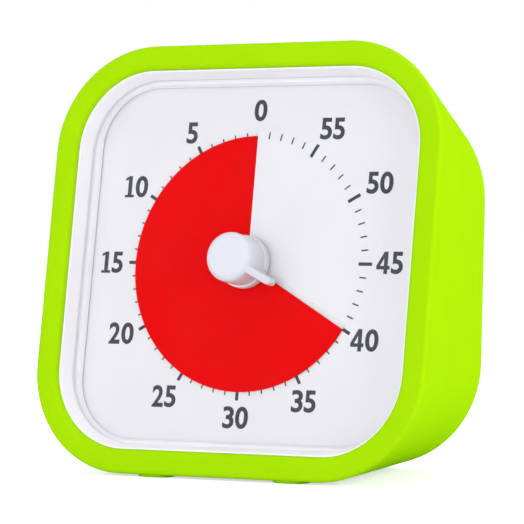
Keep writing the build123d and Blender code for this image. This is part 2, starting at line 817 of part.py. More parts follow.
chip_place = board_left + 11.5, board_low + 6.0
chip_dome = 0.8             # the share of the chip's height that its rounded edge takes
with BuildPart() as control_chip:
    rod(chip_radius, -board_front + seat_gap, -board_front + seat_gap + chip_height, chip_place)
    fillet(
        control_chip.edges().filter_by(GeomType.CIRCLE).sort_by(face.location.z_axis)[-1],
        chip_height * chip_dome,
    )
finish(control_chip, "control_chip")


cross_reach, cross_width, cross_depth = 0.62, 0.28, 0.55    # shares of a screw's head


def screw(place, seat, radius, head_radius, head_depth, length, plane):
    """A pan-head screw whose head's underside is at the seat height; its tip points down."""
    rod(radius, seat - length, seat, place, plane)
    rod(head_radius, seat, seat + head_depth, place, plane)
    reach, half = head_radius * cross_reach, head_radius * cross_width / 2
    for wide, tall in ((reach, half), (half, reach)):
        bar(
            (place[0] - wide, place[0] + wide), (place[1] - tall, place[1] + tall),
            seat + head_depth * (1 - cross_depth), seat + head_depth + 1, plane,
            mode=Mode.SUBTRACT,
        )


face_from_behind = Plane(origin=face.origin, x_dir=-face.x_dir, z_dir=-face.z_dir)
box_screw_head_depth = 1.0
box_screw_clear = 0.2       # from the screws' tips to the deck's front
with BuildPart() as movement_screws:
    for place in box_screw_places:
        screw(
            place, box_rear + seat_gap, box_screw_radius, box_screw_head,
            box_screw_head_depth, box_rear + seat_gap - deck_top - box_screw_clear,
            face_from_behind,
        )
finish(movement_screws, "movement_screws")

# ---------------------------------------------------------------- case
deck_back = deck_top + deck_thickness
flange_room = 0.6           # around the hub's flange, in the deck
post_bite = 0.5             # the front posts run this far into the deck
post_foot = 0.6             # the rear posts are wider than the front ones by this
notch_up = 0.8              # the finger notch's middle above the door
buzzer_ring = 1.2           # wall of the ring around the buzzer
buzzer_ring_depth = 0.7 * buzzer_depth
head_room = 0.2             # around a case screw's head
slot_end_gap, slot_side_gap = 0.2, 0.15     # around the switch's lever, in the rear case
back_room = back_lip_thickness + seat_gap + case_wall      # depth of the rear case's inside
skin_proud = 0.1            # the rear case's middle lies this far inside the sleeve's back
skin_inner = skin_proud + case_wall
opening_half_width = back_width / 2 - sleeve_wall - back_lip_width
opening_half_height = back_tall / 2 - sleeve_wall - back_lip_width
opening_corner = back_corner - sleeve_wall - back_lip_width
bay_up = (battery_height - back_origin[2]) / cos(lean)
battery_depth = skin_proud + door_thickness + bay_clear + battery_radius
bay_half_height = battery_radius + bay_clear
bay_half_length = (
    battery_length + nub_length + spring_space + 2 * contact_thickness + 4 * seat_gap
) / 2
bay_floor = battery_depth + bay_half_height
door_half_length = bay_half_length + door_overlap
door_half_height = bay_half_height + door_overlap
door_depth = skin_proud + door_thickness
door_pin_up = bay_up - door_half_height + door_thickness / 2
door_pin_depth = skin_proud + door_thickness / 2
contact_slot_half = 1.8

# pairs of case screws: beside the movement's box, and between the battery bay and the case's wall
upper_screw_across = box_half + post_radius + 0.2
lower_screw_up = -back_tall / 2 + case_inset + case_wall + post_radius + 0.55
case_screw_places = [
    (side * across, up)
    for across, up in ((upper_screw_across, upper_screw_up), (lower_screw_across, lower_screw_up))
    for side in (-1, 1)
]


def depth_to_split(place):
    """How far in front of the back the two cases meet, along the screw at this place."""
    start = back.from_local_coords(Vector(*place))
    split_point = on_face(0, 0, -split_depth)
    return -(split_point - start).dot(face.z_dir) / back.z_dir.dot(face.z_dir)


with BuildPart() as front_case:
    add(taper(case_inset, front=tub_height, low=-split_depth))
    add(taper(case_inset + case_wall, front=-deck_back, low=-split_depth - 1), mode=Mode.SUBTRACT)
    rounded_prism(
        tub_half, tub_corner, -dial_thickness - seat_gap, tub_height + 1,
        mode=Mode.SUBTRACT,
    )
    rounded_prism(
        tub_half - ledge_width, tub_corner - ledge_width, -deck_top, tub_height,
        mode=Mode.SUBTRACT,
    )
    with BuildPart(mode=Mode.PRIVATE) as front_posts:
        with BuildSketch(back.offset(-back_room)) as post_tops:
            with Locations(*case_screw_places):
                Circle(post_radius)
                Circle(screw_radius + shaft_gap, mode=Mode.SUBTRACT)
        extrude(post_tops.sketch, amount=-depth_at_base)
        split(bisect_by=face.offset(-deck_back + post_bite), keep=Keep.BOTTOM)
        split(bisect_by=face.offset(-split_depth), keep=Keep.TOP)
    add(front_posts.part)
    rod(flange_radius + flange_room, -deck_back - 1, 0, mode=Mode.SUBTRACT)
    for place in box_screw_places:
        rod(box_screw_radius + shaft_gap, -deck_back - 1, 0, place, mode=Mode.SUBTRACT)
finish(front_case, "front_case")

with BuildPart() as rear_case:
    add(taper(case_inset, rear=back_lip_thickness + seat_gap, front=-split_depth - seat_gap))
    add(taper(case_inset + case_wall, rear=back_room, front=-split_depth), mode=Mode.SUBTRACT)
    with BuildSketch(back.offset(-back_room)) as middle:
        RectangleRounded(
            2 * (opening_half_width - seat_gap),
            2 * (opening_half_height - seat_gap),
            opening_corner - seat_gap,
        )
    extrude(middle.sketch, amount=back_room - skin_proud)
    with BuildSketch(back.offset(-back_room - 1)) as hollow:
        RectangleRounded(
            2 * (opening_half_width - case_wall),
            2 * (opening_half_height - case_wall),
            opening_corner - case_wall,
        )
    extrude(hollow.sketch, amount=back_room + 1 - skin_inner, mode=Mode.SUBTRACT)
    # battery bay
    bay_outer_length, bay_outer_height = bay_half_length + bay_wall, bay_half_height + bay_wall
    bar(
        (-bay_outer_length, bay_outer_length),
        (bay_up - bay_outer_height, bay_up + bay_outer_height),
        -bay_floor - bay_wall, -skin_proud, back,
    )
    bar(
        (-bay_half_length, bay_half_length),
        (bay_up - bay_half_height, bay_up + bay_half_height),
        -bay_floor, 1, back, mode=Mode.SUBTRACT,
    )
    bar(
        (-door_half_length - seat_gap, door_half_length + seat_gap),
        (bay_up - door_half_height - seat_gap, bay_up + door_half_height + seat_gap),
        -door_depth - seat_gap, 1, back, mode=Mode.SUBTRACT,
    )
    door_pin_plane = Plane(
        origin=back.from_local_coords(Vector(0, door_pin_up, -door_pin_depth)),
        x_dir=(0, 1, 0), z_dir=(1, 0, 0),
    )
    pin_hole_reach = door_half_length + door_pin_length + 2 * seat_gap
    rod(
        door_pin_radius + shaft_gap, -pin_hole_reach, pin_hole_reach,
        plane=door_pin_plane, mode=Mode.SUBTRACT,
    )
    rod(
        notch_radius, -skin_proud - notch_depth, 1, (0, bay_up + door_half_height + notch_up),
        back, mode=Mode.SUBTRACT,
    )
    for side in (-1, 1):
        end = side * (bay_half_length - contact_thickness / 2 - seat_gap)
        bar(
            (end - contact_thickness / 2 - seat_gap, end + contact_thickness / 2 + seat_gap),
            (bay_up - contact_slot_half, bay_up + contact_slot_half),
            -bay_floor - bay_wall - 1, -bay_floor + 1, back, mode=Mode.SUBTRACT,
        )
    # screw posts and their wells
    with BuildPart(mode=Mode.PRIVATE) as rear_posts:
        with BuildSketch(back.offset(-skin_inner)) as post_feet:
            with Locations(*case_screw_places):
                Circle(post_radius + post_foot)
        extrude(post_feet.sketch, amount=-depth_at_base)
        split(bisect_by=face.offset(-split_depth - seat_gap), keep=Keep.BOTTOM)
    add(rear_posts.part)
    add(taper(case_inset, rear=skin_proud), mode=Mode.INTERSECT)
    for place in case_screw_places:
        seat = depth_to_split(place) + screw_bite - screw_length
        rod(screw_radius + shaft_gap, -depth_at_base, 1, place, back, mode=Mode.SUBTRACT)
        rod(screw_head_radius + head_room, -seat, 1, place, back, mode=Mode.SUBTRACT)
    # buzzer ring and grille
    rod(
        buzzer_radius + buzzer_ring, -skin_inner - buzzer_ring_depth, -skin_inner + seat_gap,
        (0, buzzer_up), back,
    )
    rod(
        buzzer_radius + seat_gap, -skin_inner - buzzer_depth, -skin_inner, (0, buzzer_up), back,
        mode=Mode.SUBTRACT,
    )
    for row in range(slot_count):
        height = buzzer_up + (row - (slot_count - 1) / 2) * slot_pitch
        with BuildSketch(back.offset(-skin_inner - 1)) as slot:
            with Locations((0, height)):
                SlotOverall(slot_length, slot_width)
        extrude(slot.sketch, amount=skin_inner + 2, mode=Mode.SUBTRACT)
    # switch: a shallow pocket and a slot for its lever
    pocket_depth = 1.1
    bar(
        (switch_across - switch_length / 2, switch_across + switch_length / 2),
        (switch_up - switch_width / 2, switch_up + switch_width / 2),
        -skin_proud - pocket_depth, 1, back, mode=Mode.SUBTRACT,
    )
    lever_half = lever_width / 2
    lever_low = switch_across - switch_travel / 2 - lever_length / 2
    lever_high = switch_across + switch_travel / 2 + lever_length / 2
    bar(
        (lever_low - slot_end_gap, lever_high + slot_end_gap),
        (switch_up - lever_half - slot_side_gap, switch_up + lever_half + slot_side_gap),
        -skin_inner - 1, 1, back, mode=Mode.SUBTRACT,
    )
finish(rear_case, "rear_case")

with BuildPart() as case_screws:
    for place in case_screw_places:
        screw(
            place, -depth_to_split(place) - screw_bite + screw_length + seat_gap, screw_radius,
            screw_head_radius, screw_head_depth, screw_length, back,
        )
finish(case_screws, "case_screws")

# ---------------------------------------------------------------- battery, contacts, door
def across_bay(x, wide=0.0):
    """A plane across the battery bay, its normal along +X, centred on the cell."""
    centre = back.from_local_coords(Vector(0, bay_up + wide, -battery_depth))
    return Plane(origin=(x, centre.Y, centre.Z), x_dir=(0, 1, 0), z_dir=(1, 0, 0))


positive_end = bay_half_length - contact_thickness - 2 * seat_gap
cell_high = positive_end - nub_length
cell_low = cell_high - battery_length
with BuildPart() as battery:
    rod(battery_radius, 0, battery_length, plane=across_bay(cell_low))
    fillet(battery.edges().filter_by(GeomType.CIRCLE), 0.5)
    rod(nub_radius, 0, battery_length + nub_length, plane=across_bay(cell_low))
    fillet(battery.edges().filter_by(GeomType.CIRCLE).sort_by(Axis.X)[-1], 0.3)
finish(battery, "battery")

contact_half = 5.0
tab_half = contact_slot_half - pocket_gap
tab_reach = 1.6


def contact_plate(side):
    """A square plate at one end of the bay, with a solder tab through the bay's floor."""
    low = side * (bay_half_length - seat_gap) - (contact_thickness if side > 0 else 0)
    bar(
        (-low - contact_thickness, -low), (bay_up - contact_half, bay_up + contact_half),
        -battery_depth - contact_half, -battery_depth + contact_half, back,
    )
    bar(
        (-low - contact_thickness, -low), (bay_up - tab_half, bay_up + tab_half),
        -bay_floor - bay_wall - tab_reach, -battery_depth, back,
    )


with BuildPart() as positive_contact:
    contact_plate(1)
finish(positive_contact, "positive_contact")

spring_foot = -bay_half_length + seat_gap + contact_thickness
spring_height = cell_low - spring_foot - seat_gap
with BuildPart() as negative_contact:
    contact_plate(-1)
    with BuildLine() as coil:
        Helix(
            pitch=(spring_height - spring_wire) / spring_turns,
            height=spring_height - spring_wire,
            radius=spring_radius,
            center=across_bay(spring_foot).origin,
            direction=(1, 0, 0),
        )
    with BuildSketch(Plane(coil.line @ 0, z_dir=coil.line % 0)):
        Circle(spring_wire)
    sweep(path=coil.line, is_frenet=True)
finish(negative_contact, "negative_contact")

with BuildPart() as battery_door:
    bar(
        (-door_half_length, door_half_length),
        (bay_up - door_half_height, bay_up + door_half_height),
        -door_depth, -skin_proud, back,
    )
    lower = battery_door.edges().filter_by(Axis.X).group_by(back.location.y_axis)[0]
    fillet(lower, door_thickness / 2 - 0.02)
    for side in (-1, 1):
        rod(
            door_pin_radius, side * (door_half_length - 1),
            side * (door_half_length + door_pin_length), plane=door_pin_plane,
        )
    latch_up = bay_up + bay_half_height - latch_inset
    bar(
        (-latch_width / 2, latch_width / 2), (latch_up - latch_thickness, latch_up),
        -door_depth - latch_reach, -door_depth + 0.2, back,
    )
finish(battery_door, "battery_door")

# ---------------------------------------------------------------- buzzer and switch
sound_hole_radius, sound_hole_depth = 1.2, 1.2
with BuildPart() as buzzer:
    rod(
        buzzer_radius, -skin_inner - seat_gap - buzzer_depth, -skin_inner - seat_gap,
        (0, buzzer_up), back,
    )
    rod(
        sound_hole_radius, -skin_inner - sound_hole_depth, 0, (0, buzzer_up), back,
        mode=Mode.SUBTRACT,
    )
finish(buzzer, "buzzer")

switch_front = skin_inner + seat_gap
base_front, base_thickness = 0.7, 1.2       # the lever's base, behind the switch's front
base_margin, base_side = 0.5, 0.3           # the base is this much longer and wider each way
base_back = base_front + base_thickness
base_half = lever_half + base_side
lever_gap = 0.1             # around the lever and its base, in the switch's body
with BuildPart() as switch_body:
    bar(
        (switch_across - switch_length / 2, switch_across + switch_length / 2),
        (switch_up - switch_width / 2, switch_up + switch_width / 2),
        -switch_front - switch_depth, -switch_front, back,
    )
    bar(
        (lever_low - base_margin - lever_gap, lever_high + base_margin + lever_gap),
        (switch_up - base_half - lever_gap, switch_up + base_half + lever_gap),
        -switch_front - base_back - lever_gap, -switch_front - base_front + lever_gap,
        back, mode=Mode.SUBTRACT,
    )
    bar(
        (lever_low - lever_gap, lever_high + lever_gap),
        (switch_up - lever_half - lever_gap, switch_up + lever_half + lever_gap),
        -switch_front - 1, 0, back, mode=Mode.SUBTRACT,
    )
finish(switch_body, "switch_body")

with BuildPart() as switch_lever:
    bar(
        (lever_low, lever_low + lever_length),
        (switch_up - lever_half, switch_up + lever_half),
        -switch_front - base_back, lever_proud - skin_proud - pocket_depth, back,
    )
    bar(
        (lever_low - base_margin, lever_low + lever_length + base_margin),
        (switch_up - base_half, switch_up + base_half),
        -switch_front - base_back, -switch_front - base_front, back,
    )
finish(switch_lever, "switch_lever")

# ---------------------------------------------------------------- wires
def wire_line(points):
    """A wire's middle line: straight runs, with each bend as wide as its two runs allow."""
    radii = []
    for before, at, after in zip(points, points[1:], points[2:]):
        turn = radians((at - before).get_angle(after - at))
        shorter = min((at - before).length, (after - at).length)
        radii.append(0.45 * shorter / tan(turn / 2))
    return FilletPolyline(*points, radius=radii)


def wire(*routes):
    """A round wire along each route of points."""
    for points in routes:
        with BuildLine() as line:
            wire_line(points)
        with BuildSketch(Plane(line.line @ 0, z_dir=line.line % 0)) as section:
            Circle(wire_radius)
        sweep(section.sketch, path=line.line)


tab_end = bay_floor + bay_wall + tab_reach + seat_gap
wire_lead = 1.6             # a wire's first, straight stretch
wire_swing = 3.4            # how far the battery wires stand off the movement's sides
wire_pair = 0.8             # half the distance between the buzzer's two wires


def battery_wire(side):
    """From a contact's solder tab forward beside the movement, and in through its side."""
    tab = back.from_local_coords(
        Vector(-side * (bay_half_length - contact_thickness / 2 - seat_gap), bay_up, -tab_end)
    )
    return [
        tab,
        tab - back.z_dir * wire_lead,
        on_face(side * (box_half + wire_swing), wire_entry_up - 1.3, -wire_depth - 3.0),
        on_face(side * (box_half + wire_swing * 0.6), wire_entry_up, -wire_depth),
        on_face(side * (box_half - board_inset), wire_entry_up, -wire_depth),
    ]


def inner_stretch():
    """The black wire's way inside the movement, behind the wheels, to the board's left edge."""
    start = -box_half + board_inset
    span = board_left + 1.0 - start
    return [
        on_face(start + span * share, wire_entry_up + swing, -wire_depth)
        for share, swing in ((0.3, -0.5), (0.66, 0.4), (1.0, -0.3))
    ]


with BuildPart() as battery_wire_red:
    wire(battery_wire(1))
finish(battery_wire_red, "battery_wire_red")

with BuildPart() as battery_wire_black:
    wire(battery_wire(-1) + inner_stretch())
finish(battery_wire_black, "battery_wire_black")

buzzer_back = skin_inner + 2 * seat_gap + buzzer_depth


def buzzer_wire(shift):
    """From the buzzer's front, down behind the movement and in through the hole in its rear."""
    start = back.from_local_coords(Vector(-shift - 1.0, buzzer_up - 5.0, -buzzer_back))
    lead = start - back.z_dir * 2.0 * wire_lead - back.y_dir * 0.5
    entry = on_face(shift + buzzer_hole_place[0], buzzer_hole_place[1], -box_rear - 2.2)
    halfway = (lead + entry) * 0.5 + face.x_dir * 2.0 - face.y_dir * 1.5
    end = on_face(shift + buzzer_hole_place[0], buzzer_hole_place[1], -board_back - seat_gap)
    return [start, lead, halfway, entry, end]


with BuildPart() as buzzer_wires:
    wire(buzzer_wire(-wire_pair), buzzer_wire(wire_pair))
finish(buzzer_wires, "buzzer_wires")
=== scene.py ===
"""Looks of a visual countdown timer: its silicone sleeve, knob, window, printed dial, finishes
and stage.

It is laid out as a Blender add-on and run as a script. Lengths are in metres.
"""

import json
import math

import bmesh
import bpy
from mathutils import Matrix, Vector

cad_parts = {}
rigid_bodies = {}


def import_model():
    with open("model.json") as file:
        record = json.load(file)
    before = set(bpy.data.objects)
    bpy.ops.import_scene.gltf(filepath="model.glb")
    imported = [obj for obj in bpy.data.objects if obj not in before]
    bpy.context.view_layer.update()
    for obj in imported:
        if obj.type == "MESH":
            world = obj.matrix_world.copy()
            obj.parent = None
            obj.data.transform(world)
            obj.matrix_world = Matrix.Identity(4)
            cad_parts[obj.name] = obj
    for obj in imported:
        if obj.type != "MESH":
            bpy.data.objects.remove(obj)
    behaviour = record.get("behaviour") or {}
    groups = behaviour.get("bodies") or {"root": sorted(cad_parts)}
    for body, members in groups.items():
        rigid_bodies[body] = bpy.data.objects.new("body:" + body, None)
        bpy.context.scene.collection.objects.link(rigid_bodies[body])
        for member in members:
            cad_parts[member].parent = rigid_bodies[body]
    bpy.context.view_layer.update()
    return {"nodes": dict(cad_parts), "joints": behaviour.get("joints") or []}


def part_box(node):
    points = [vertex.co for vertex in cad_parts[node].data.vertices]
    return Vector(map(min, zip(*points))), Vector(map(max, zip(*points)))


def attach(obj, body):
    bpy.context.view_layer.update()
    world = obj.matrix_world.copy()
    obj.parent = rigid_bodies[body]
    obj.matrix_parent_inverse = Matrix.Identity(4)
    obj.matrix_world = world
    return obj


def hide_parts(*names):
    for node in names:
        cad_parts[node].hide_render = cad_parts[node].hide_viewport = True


bl_info = {
    "name": "Countdown Timer Looks",
    "version": (1, 0, 0),
    "blender": (4, 5, 0),
    "location": "View3D > Sidebar > Timer",
    "description": "Models and finishes a visual countdown timer around its packed frame",
    "category": "Add Mesh",
}

for left_over in list(bpy.data.objects):
    bpy.data.objects.remove(left_over)
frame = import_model()
NODES = frame["nodes"]
MM = 0.001
STEEP, FLAT = 0.7, 0.9             # how much of Z an upright edge and a flat face's normal have

# ---------------------------------------------------------------- places
# The dial's own axes: right, up and towards the viewer, from its middle.
KNOB_TURN = next(joint for joint in frame["joints"] if joint["name"] == "knob_turn")
FACE_ORIGIN = Vector(KNOB_TURN["pos_m"])
FACE_OUT = Vector(KNOB_TURN["axis"])
FACE_RIGHT = Vector((1, 0, 0))
FACE_UP = FACE_OUT.cross(FACE_RIGHT)
TILT = math.atan2(FACE_OUT.z, -FACE_OUT.y)


def axes(right, up, out, origin):
    """The matrix that puts a piece modelled on plain axes onto these ones."""
    matrix = Matrix((right, up, out)).transposed().to_4x4()
    matrix.translation = origin
    return matrix


FACE = axes(FACE_RIGHT, FACE_UP, FACE_OUT, FACE_ORIGIN)
BACK_LEAN = math.radians(2.9)      # the back leans out at its top
BACK_ORIGIN = Vector((0, 0.02350, 0.03935))        # the middle of the sleeve's back
REST_TURN = math.radians(240)      # the disc's edge from the 0 mark, counter-clockwise


# ---------------------------------------------------------------- settings
def length(name, text, default):
    return bpy.props.FloatProperty(
        name=name, description=text, default=default, unit="LENGTH", min=0, precision=5
    )


def colour(name, text, default):
    return bpy.props.FloatVectorProperty(
        name=name, description=text, default=(*default, 1), size=4, subtype="COLOR", min=0, max=1
    )


class TimerSizes(bpy.types.PropertyGroup):
    """Sizes of the modelled pieces."""

    rim_size: length("Rim size", "Width of the sleeve's front, edges not yet round", 0.08936)
    rim_corner: length("Rim corner", "Corner radius of the sleeve's front", 0.0218)
    rim_height: length("Rim height", "The rim's front above the dial", 0.0067)
    lip_width: length("Lip width", "The rim's width around the front opening", 0.00518)
    sleeve_wall: length("Sleeve wall", "Thickness of the silicone", 0.0020)
    soft_edge: length("Soft edge", "Rounding of the sleeve's edges", 0.0011)
    back_width: length("Back width", "Width of the sleeve's back", 0.0744)
    back_tall: length("Back height", "Height of the sleeve's back", 0.0774)
    back_lip: length("Back lip", "Width of the sleeve's lip around the back", 0.0047)
    foot_width: length("Foot width", "Width of a foot", 0.0078)
    foot_depth: length("Foot depth", "Depth of a foot", 0.0080)
    foot_corner: length("Foot corner", "Corner radius of a foot", 0.0028)
    lens_half: length("Lens half", "Half the width of the lens", 0.03825)
    lens_top: length("Lens front", "The lens's front above the dial", 0.0025)
    lens_thickness: length("Lens thickness", "Thickness of the lens", 0.0011)
    window_half: length("Window half", "Half the width of the dial's window", 0.0367)
    window_corner: length("Window corner", "Corner radius of the dial's window", 0.0126)
    knob_radius: length("Knob radius", "Radius of the knob", 0.0051)
    knob_front: length("Knob front", "The knob's front above the dial", 0.0092)
    knob_back: length("Knob back", "The knob's back above the dial", 0.0028)
    knob_round: length("Knob rounding", "Rounding of the knob's front edge", 0.0013)
    fin_reach: length("Pointer reach", "How far the pointer goes out from the middle", 0.0095)
    fin_width: length("Pointer width", "Width of the pointer", 0.0015)
    fin_tip: length("Pointer tip", "The pointer's tip above the dial", 0.0056)
    numeral_height: length("Numeral height", "Height of the minute numerals", 0.00452)
    ink_depth: length("Ink depth", "Thickness of the ink", 0.00002)


class TimerColours(bpy.types.PropertyGroup):
    """Colours of the finishes."""

    silicone: colour("Silicone", "The sleeve", (0.365, 0.70, 0.003))
    # The bezel, ring and knob are one white plastic in two painted strengths: White is set
    # lighter to lift the bezel's shaded slopes, and Knob is a darker copy, painted shade that
    # offsets the stronger light on the knob's front
    white: colour("White", "Bezel and window ring", (0.90, 0.89, 0.93))
    knob: colour("Knob", "Knob and pointer", (0.665, 0.665, 0.725))
    case: colour("Case", "Front and rear case, door and disc hub", (0.80, 0.80, 0.84))
    dial: colour("Dial", "The printed plate", (0.79, 0.78, 0.81))
    red: colour("Red", "The time disc", (0.78, 0.002, 0.003))
    ink: colour("Ink", "Numerals and marks", (0.062, 0.064, 0.075))


# ---------------------------------------------------------------- modelling helpers
def nothing_selected():
    if bpy.context.mode != "OBJECT":
        bpy.ops.object.mode_set(mode="OBJECT")
    bpy.ops.object.select_all(action="DESELECT")


def only(piece):
    """Select this piece alone and make it active."""
    nothing_selected()
    piece.select_set(True)
    bpy.context.view_layer.objects.active = piece


def named(name):
    """The new active object, under its piece name."""
    piece = bpy.context.object
    piece.name = name
    piece.data.name = name
    return piece


def edit():
    bpy.ops.object.mode_set(mode="EDIT")


def leave():
    bpy.ops.object.mode_set(mode="OBJECT")


def pick(kind, test):
    """Select only the faces, edges or vertices that pass the test, in edit mode."""
    bpy.ops.mesh.select_mode(type={"faces": "FACE", "edges": "EDGE", "verts": "VERT"}[kind])
    bpy.ops.mesh.select_all(action="DESELECT")
    shape = bmesh.from_edit_mesh(bpy.context.object.data)
    for item in getattr(shape, kind):
        if test(item):
            item.select = True
    shape.select_flush_mode()
    bmesh.update_edit_mesh(bpy.context.object.data)


def upright(edge):
    """Whether an edge runs more along the piece's Z axis than across it."""
    run = edge.verts[0].co - edge.verts[1].co
    return abs(run.z) > STEEP * run.length


def faces_up(face):
    return face.normal.z > FLAT


def faces_down(face):
    return face.normal.z < -FLAT


def modify(piece, kind, **settings):
    """Add a modifier and apply it."""
    only(piece)
    step = piece.modifiers.new(kind.title(), kind)
    for key, value in settings.items():
        setattr(step, key, value)
    bpy.ops.object.modifier_apply(modifier=step.name)


def soften(piece, width, segments=4, degrees=40):
    """Round the sharp edges."""
    modify(
        piece, "BEVEL", width=width, segments=segments, limit_method="ANGLE",
        angle_limit=math.radians(degrees),
    )


def cut(piece, tool):
    """Take the tool's shape out of the piece, and remove the tool."""
    modify(piece, "BOOLEAN", operation="DIFFERENCE", solver="EXACT", object=tool)
    bpy.data.objects.remove(tool)


def place(piece, matrix=None):
    """Put the piece's place into its mesh."""
    if matrix is not None:
        piece.matrix_world = matrix @ piece.matrix_world
    only(piece)
    bpy.ops.object.transform_apply(location=True, rotation=True, scale=True)


def copied(piece, matrix):
    """A copy of the piece with its own mesh, moved by the matrix."""
    twin = piece.copy()
    twin.data = piece.data.copy()
    twin.data.transform(matrix)
    bpy.context.collection.objects.link(twin)
    return twin


def smooth(piece):
    only(piece)
    bpy.ops.object.shade_smooth_by_angle(angle=math.radians(35))


def join(pieces):
    """Make one piece of several; the first keeps its name."""
    nothing_selected()
    for piece in pieces:
        piece.select_set(True)
    bpy.context.view_layer.objects.active = pieces[0]
    bpy.ops.object.join()
    return pieces[0]


def block(low, high, name):
    """A box between two corners, its place in its mesh."""
    nothing_selected()
    low, high = Vector(low), Vector(high)
    bpy.ops.mesh.primitive_cube_add(size=1, location=(low + high) / 2)
    piece = named(name)
    piece.scale = high - low
    place(piece)
    return piece


def rounded_block(low, high, corner, name, segments=16):
    """A box with its upright edges rounded."""
    piece = block(low, high, name)
    edit()
    pick("edges", upright)
    bpy.ops.mesh.bevel(offset=corner, segments=segments, affect="EDGES")
    leave()
    return piece


def rounded_square(half, corner, low, high, name):
    """A rounded block round the Z axis, from its half width and its two heights."""
    return rounded_block((-half, -half, low), (half, half, high), corner, name)


def turned(rings, name, vertices=96):
    """A closed turned piece on the Z axis from rings of radius and height, bottom first."""
    nothing_selected()
    radius, height = rings[0]
    bpy.ops.mesh.primitive_circle_add(
        vertices=vertices, radius=radius, fill_type="NGON", location=(0, 0, height)
    )
    piece = named(name)
    place(piece)
    edit()
    bpy.ops.mesh.select_all(action="SELECT")
    for next_radius, next_height in rings[1:]:
        bpy.ops.mesh.extrude_region_move(
            TRANSFORM_OT_translate={"value": (0, 0, next_height - height)}
        )
        bpy.ops.transform.resize(
            value=(next_radius / radius, next_radius / radius, 1),
            center_override=(0, 0, next_height),
        )
        radius, height = next_radius, next_height
    bpy.ops.mesh.select_all(action="SELECT")
    bpy.ops.mesh.normals_make_consistent(inside=False)
    leave()
    return piece


# ---------------------------------------------------------------- shader helpers
def node(tree, kind, inputs=None, **settings):
    """A shader node with its settings, and its inputs set to values or linked to sockets."""
    made = tree.nodes.new("ShaderNode" + kind)
    for key, value in settings.items():
        setattr(made, key, value)
    for key, value in (inputs or {}).items():
        if isinstance(value, bpy.types.NodeSocket):
            tree.links.new(value, made.inputs[key])
        else:
            made.inputs[key].default_value = value
    return made


def maths(tree, operation, *values):
    return node(tree, "Math", dict(enumerate(values)), operation=operation).outputs[0]


def noise(tree, place, scale, detail=3.0, distortion=0.0):
    inputs = {"Vector": place, "Scale": scale, "Detail": detail, "Distortion": distortion}
    return node(tree, "TexNoise", inputs).outputs[0]


def spread(tree, value, low, high, new_low=0.0, new_high=1.0):
    """A value between two limits brought to between two others."""
    inputs = {"Value": value, 1: low, 2: high, 3: new_low, 4: new_high}
    return node(tree, "MapRange", inputs).outputs[0]


def blended(tree, factor, first, second, blend_type="MIX"):
    inputs = {0: factor, 6: first, 7: second}
    return node(tree, "Mix", inputs, data_type="RGBA", blend_type=blend_type).outputs[2]


def new_group(name, inputs):
    """A new shader node group with these inputs and a colour, a roughness and a normal out."""
    tree = bpy.data.node_groups.new(name, "ShaderNodeTree")
    kinds = {3: "NodeSocketVector", 4: "NodeSocketColor"}
    for key, default in inputs.items():
        kind = kinds[len(default)] if isinstance(default, tuple) else "NodeSocketFloat"
        socket = tree.interface.new_socket(key, in_out="INPUT", socket_type=kind)
        socket.default_value = default
    for key, kind in (("Colour", "Color"), ("Roughness", "Float"), ("Normal", "Vector")):
        tree.interface.new_socket(key, in_out="OUTPUT", socket_type="NodeSocket" + kind)
    given = tree.nodes.new("NodeGroupInput").outputs
    return tree, given, tree.nodes.new("NodeGroupOutput").inputs


def give(tree, result, colour, roughness, height, depth):
    """Link a group's three results; the height becomes the normal."""
    bump = node(tree, "Bump", {"Height": height, "Distance": depth}).outputs[0]
    for key, value in (("Colour", colour), ("Roughness", roughness), ("Normal", bump)):
        tree.links.new(value, result[key])


def moulded_skin():
    """Moulded plastic or silicone: fine grain, cloudy shade, finger marks and hairlines."""
    tree, given, result = new_group("moulded skin", {
        "Colour": (0.8, 0.8, 0.8, 1), "Roughness": 0.4, "Grain Size": 0.0003,
        "Grain Depth": 0.00001, "Mottle": 0.05, "Smudge": 0.1, "Hairlines": 0.1,
    })
    spot = node(tree, "TexCoord").outputs["Object"]
    grain = noise(tree, spot, maths(tree, "DIVIDE", 1.0, given["Grain Size"]), 2)
    cloud = spread(tree, noise(tree, spot, 75, 4), 0.3, 0.7)
    touch = spread(tree, noise(tree, spot, 130, 3, 1.4), 0.5, 0.72)
    drawn = node(tree, "Mapping", {
        "Vector": spot, "Rotation": (0.4, 0.7, 0.5), "Scale": (90, 2600, 1800)
    }).outputs[0]
    hairline = spread(tree, noise(tree, drawn, 1, 2), 0.70, 0.74)
    worn = maths(tree, "MULTIPLY", hairline, given["Hairlines"])
    shade = maths(tree, "MULTIPLY", cloud, given["Mottle"])
    tint = blended(tree, shade, given["Colour"], (0.35, 0.35, 0.36, 1), "MULTIPLY")
    rough = maths(tree, "ADD", given["Roughness"],
                  maths(tree, "MULTIPLY", touch, given["Smudge"]))
    rough = maths(tree, "ADD", rough, worn)
    height = maths(tree, "SUBTRACT", grain, worn)
    give(tree, result, tint, rough, height, given["Grain Depth"])
    return tree


def drawn_metal():
    """Rolled, drawn or turned metal: fine lines along the lay, with a dull bloom."""
    tree, given, result = new_group("drawn metal", {
        "Colour": (0.7, 0.7, 0.7, 1), "Roughness": 0.3, "Lay": (200.0, 9000.0, 9000.0),
        "Depth": 0.000004, "Bloom": 0.2,
    })
    spot = node(tree, "TexCoord").outputs["Object"]
    drawn = node(tree, "VectorMath", {0: spot, 1: given["Lay"]}, operation="MULTIPLY").outputs[0]
    line = noise(tree, drawn, 1, 3)
    bloom = maths(tree, "MULTIPLY", spread(tree, noise(tree, spot, 260, 5, 0.6), 0.4, 0.7),
                  given["Bloom"])
    tint = blended(tree, bloom, given["Colour"], (0.45, 0.40, 0.35, 1), "MULTIPLY")
    rough = maths(tree, "ADD", given["Roughness"], bloom)
    rough = maths(tree, "ADD", rough, spread(tree, line, 0.3, 0.7, -0.06, 0.06))
    give(tree, result, tint, rough, line, given["Depth"])
    return tree


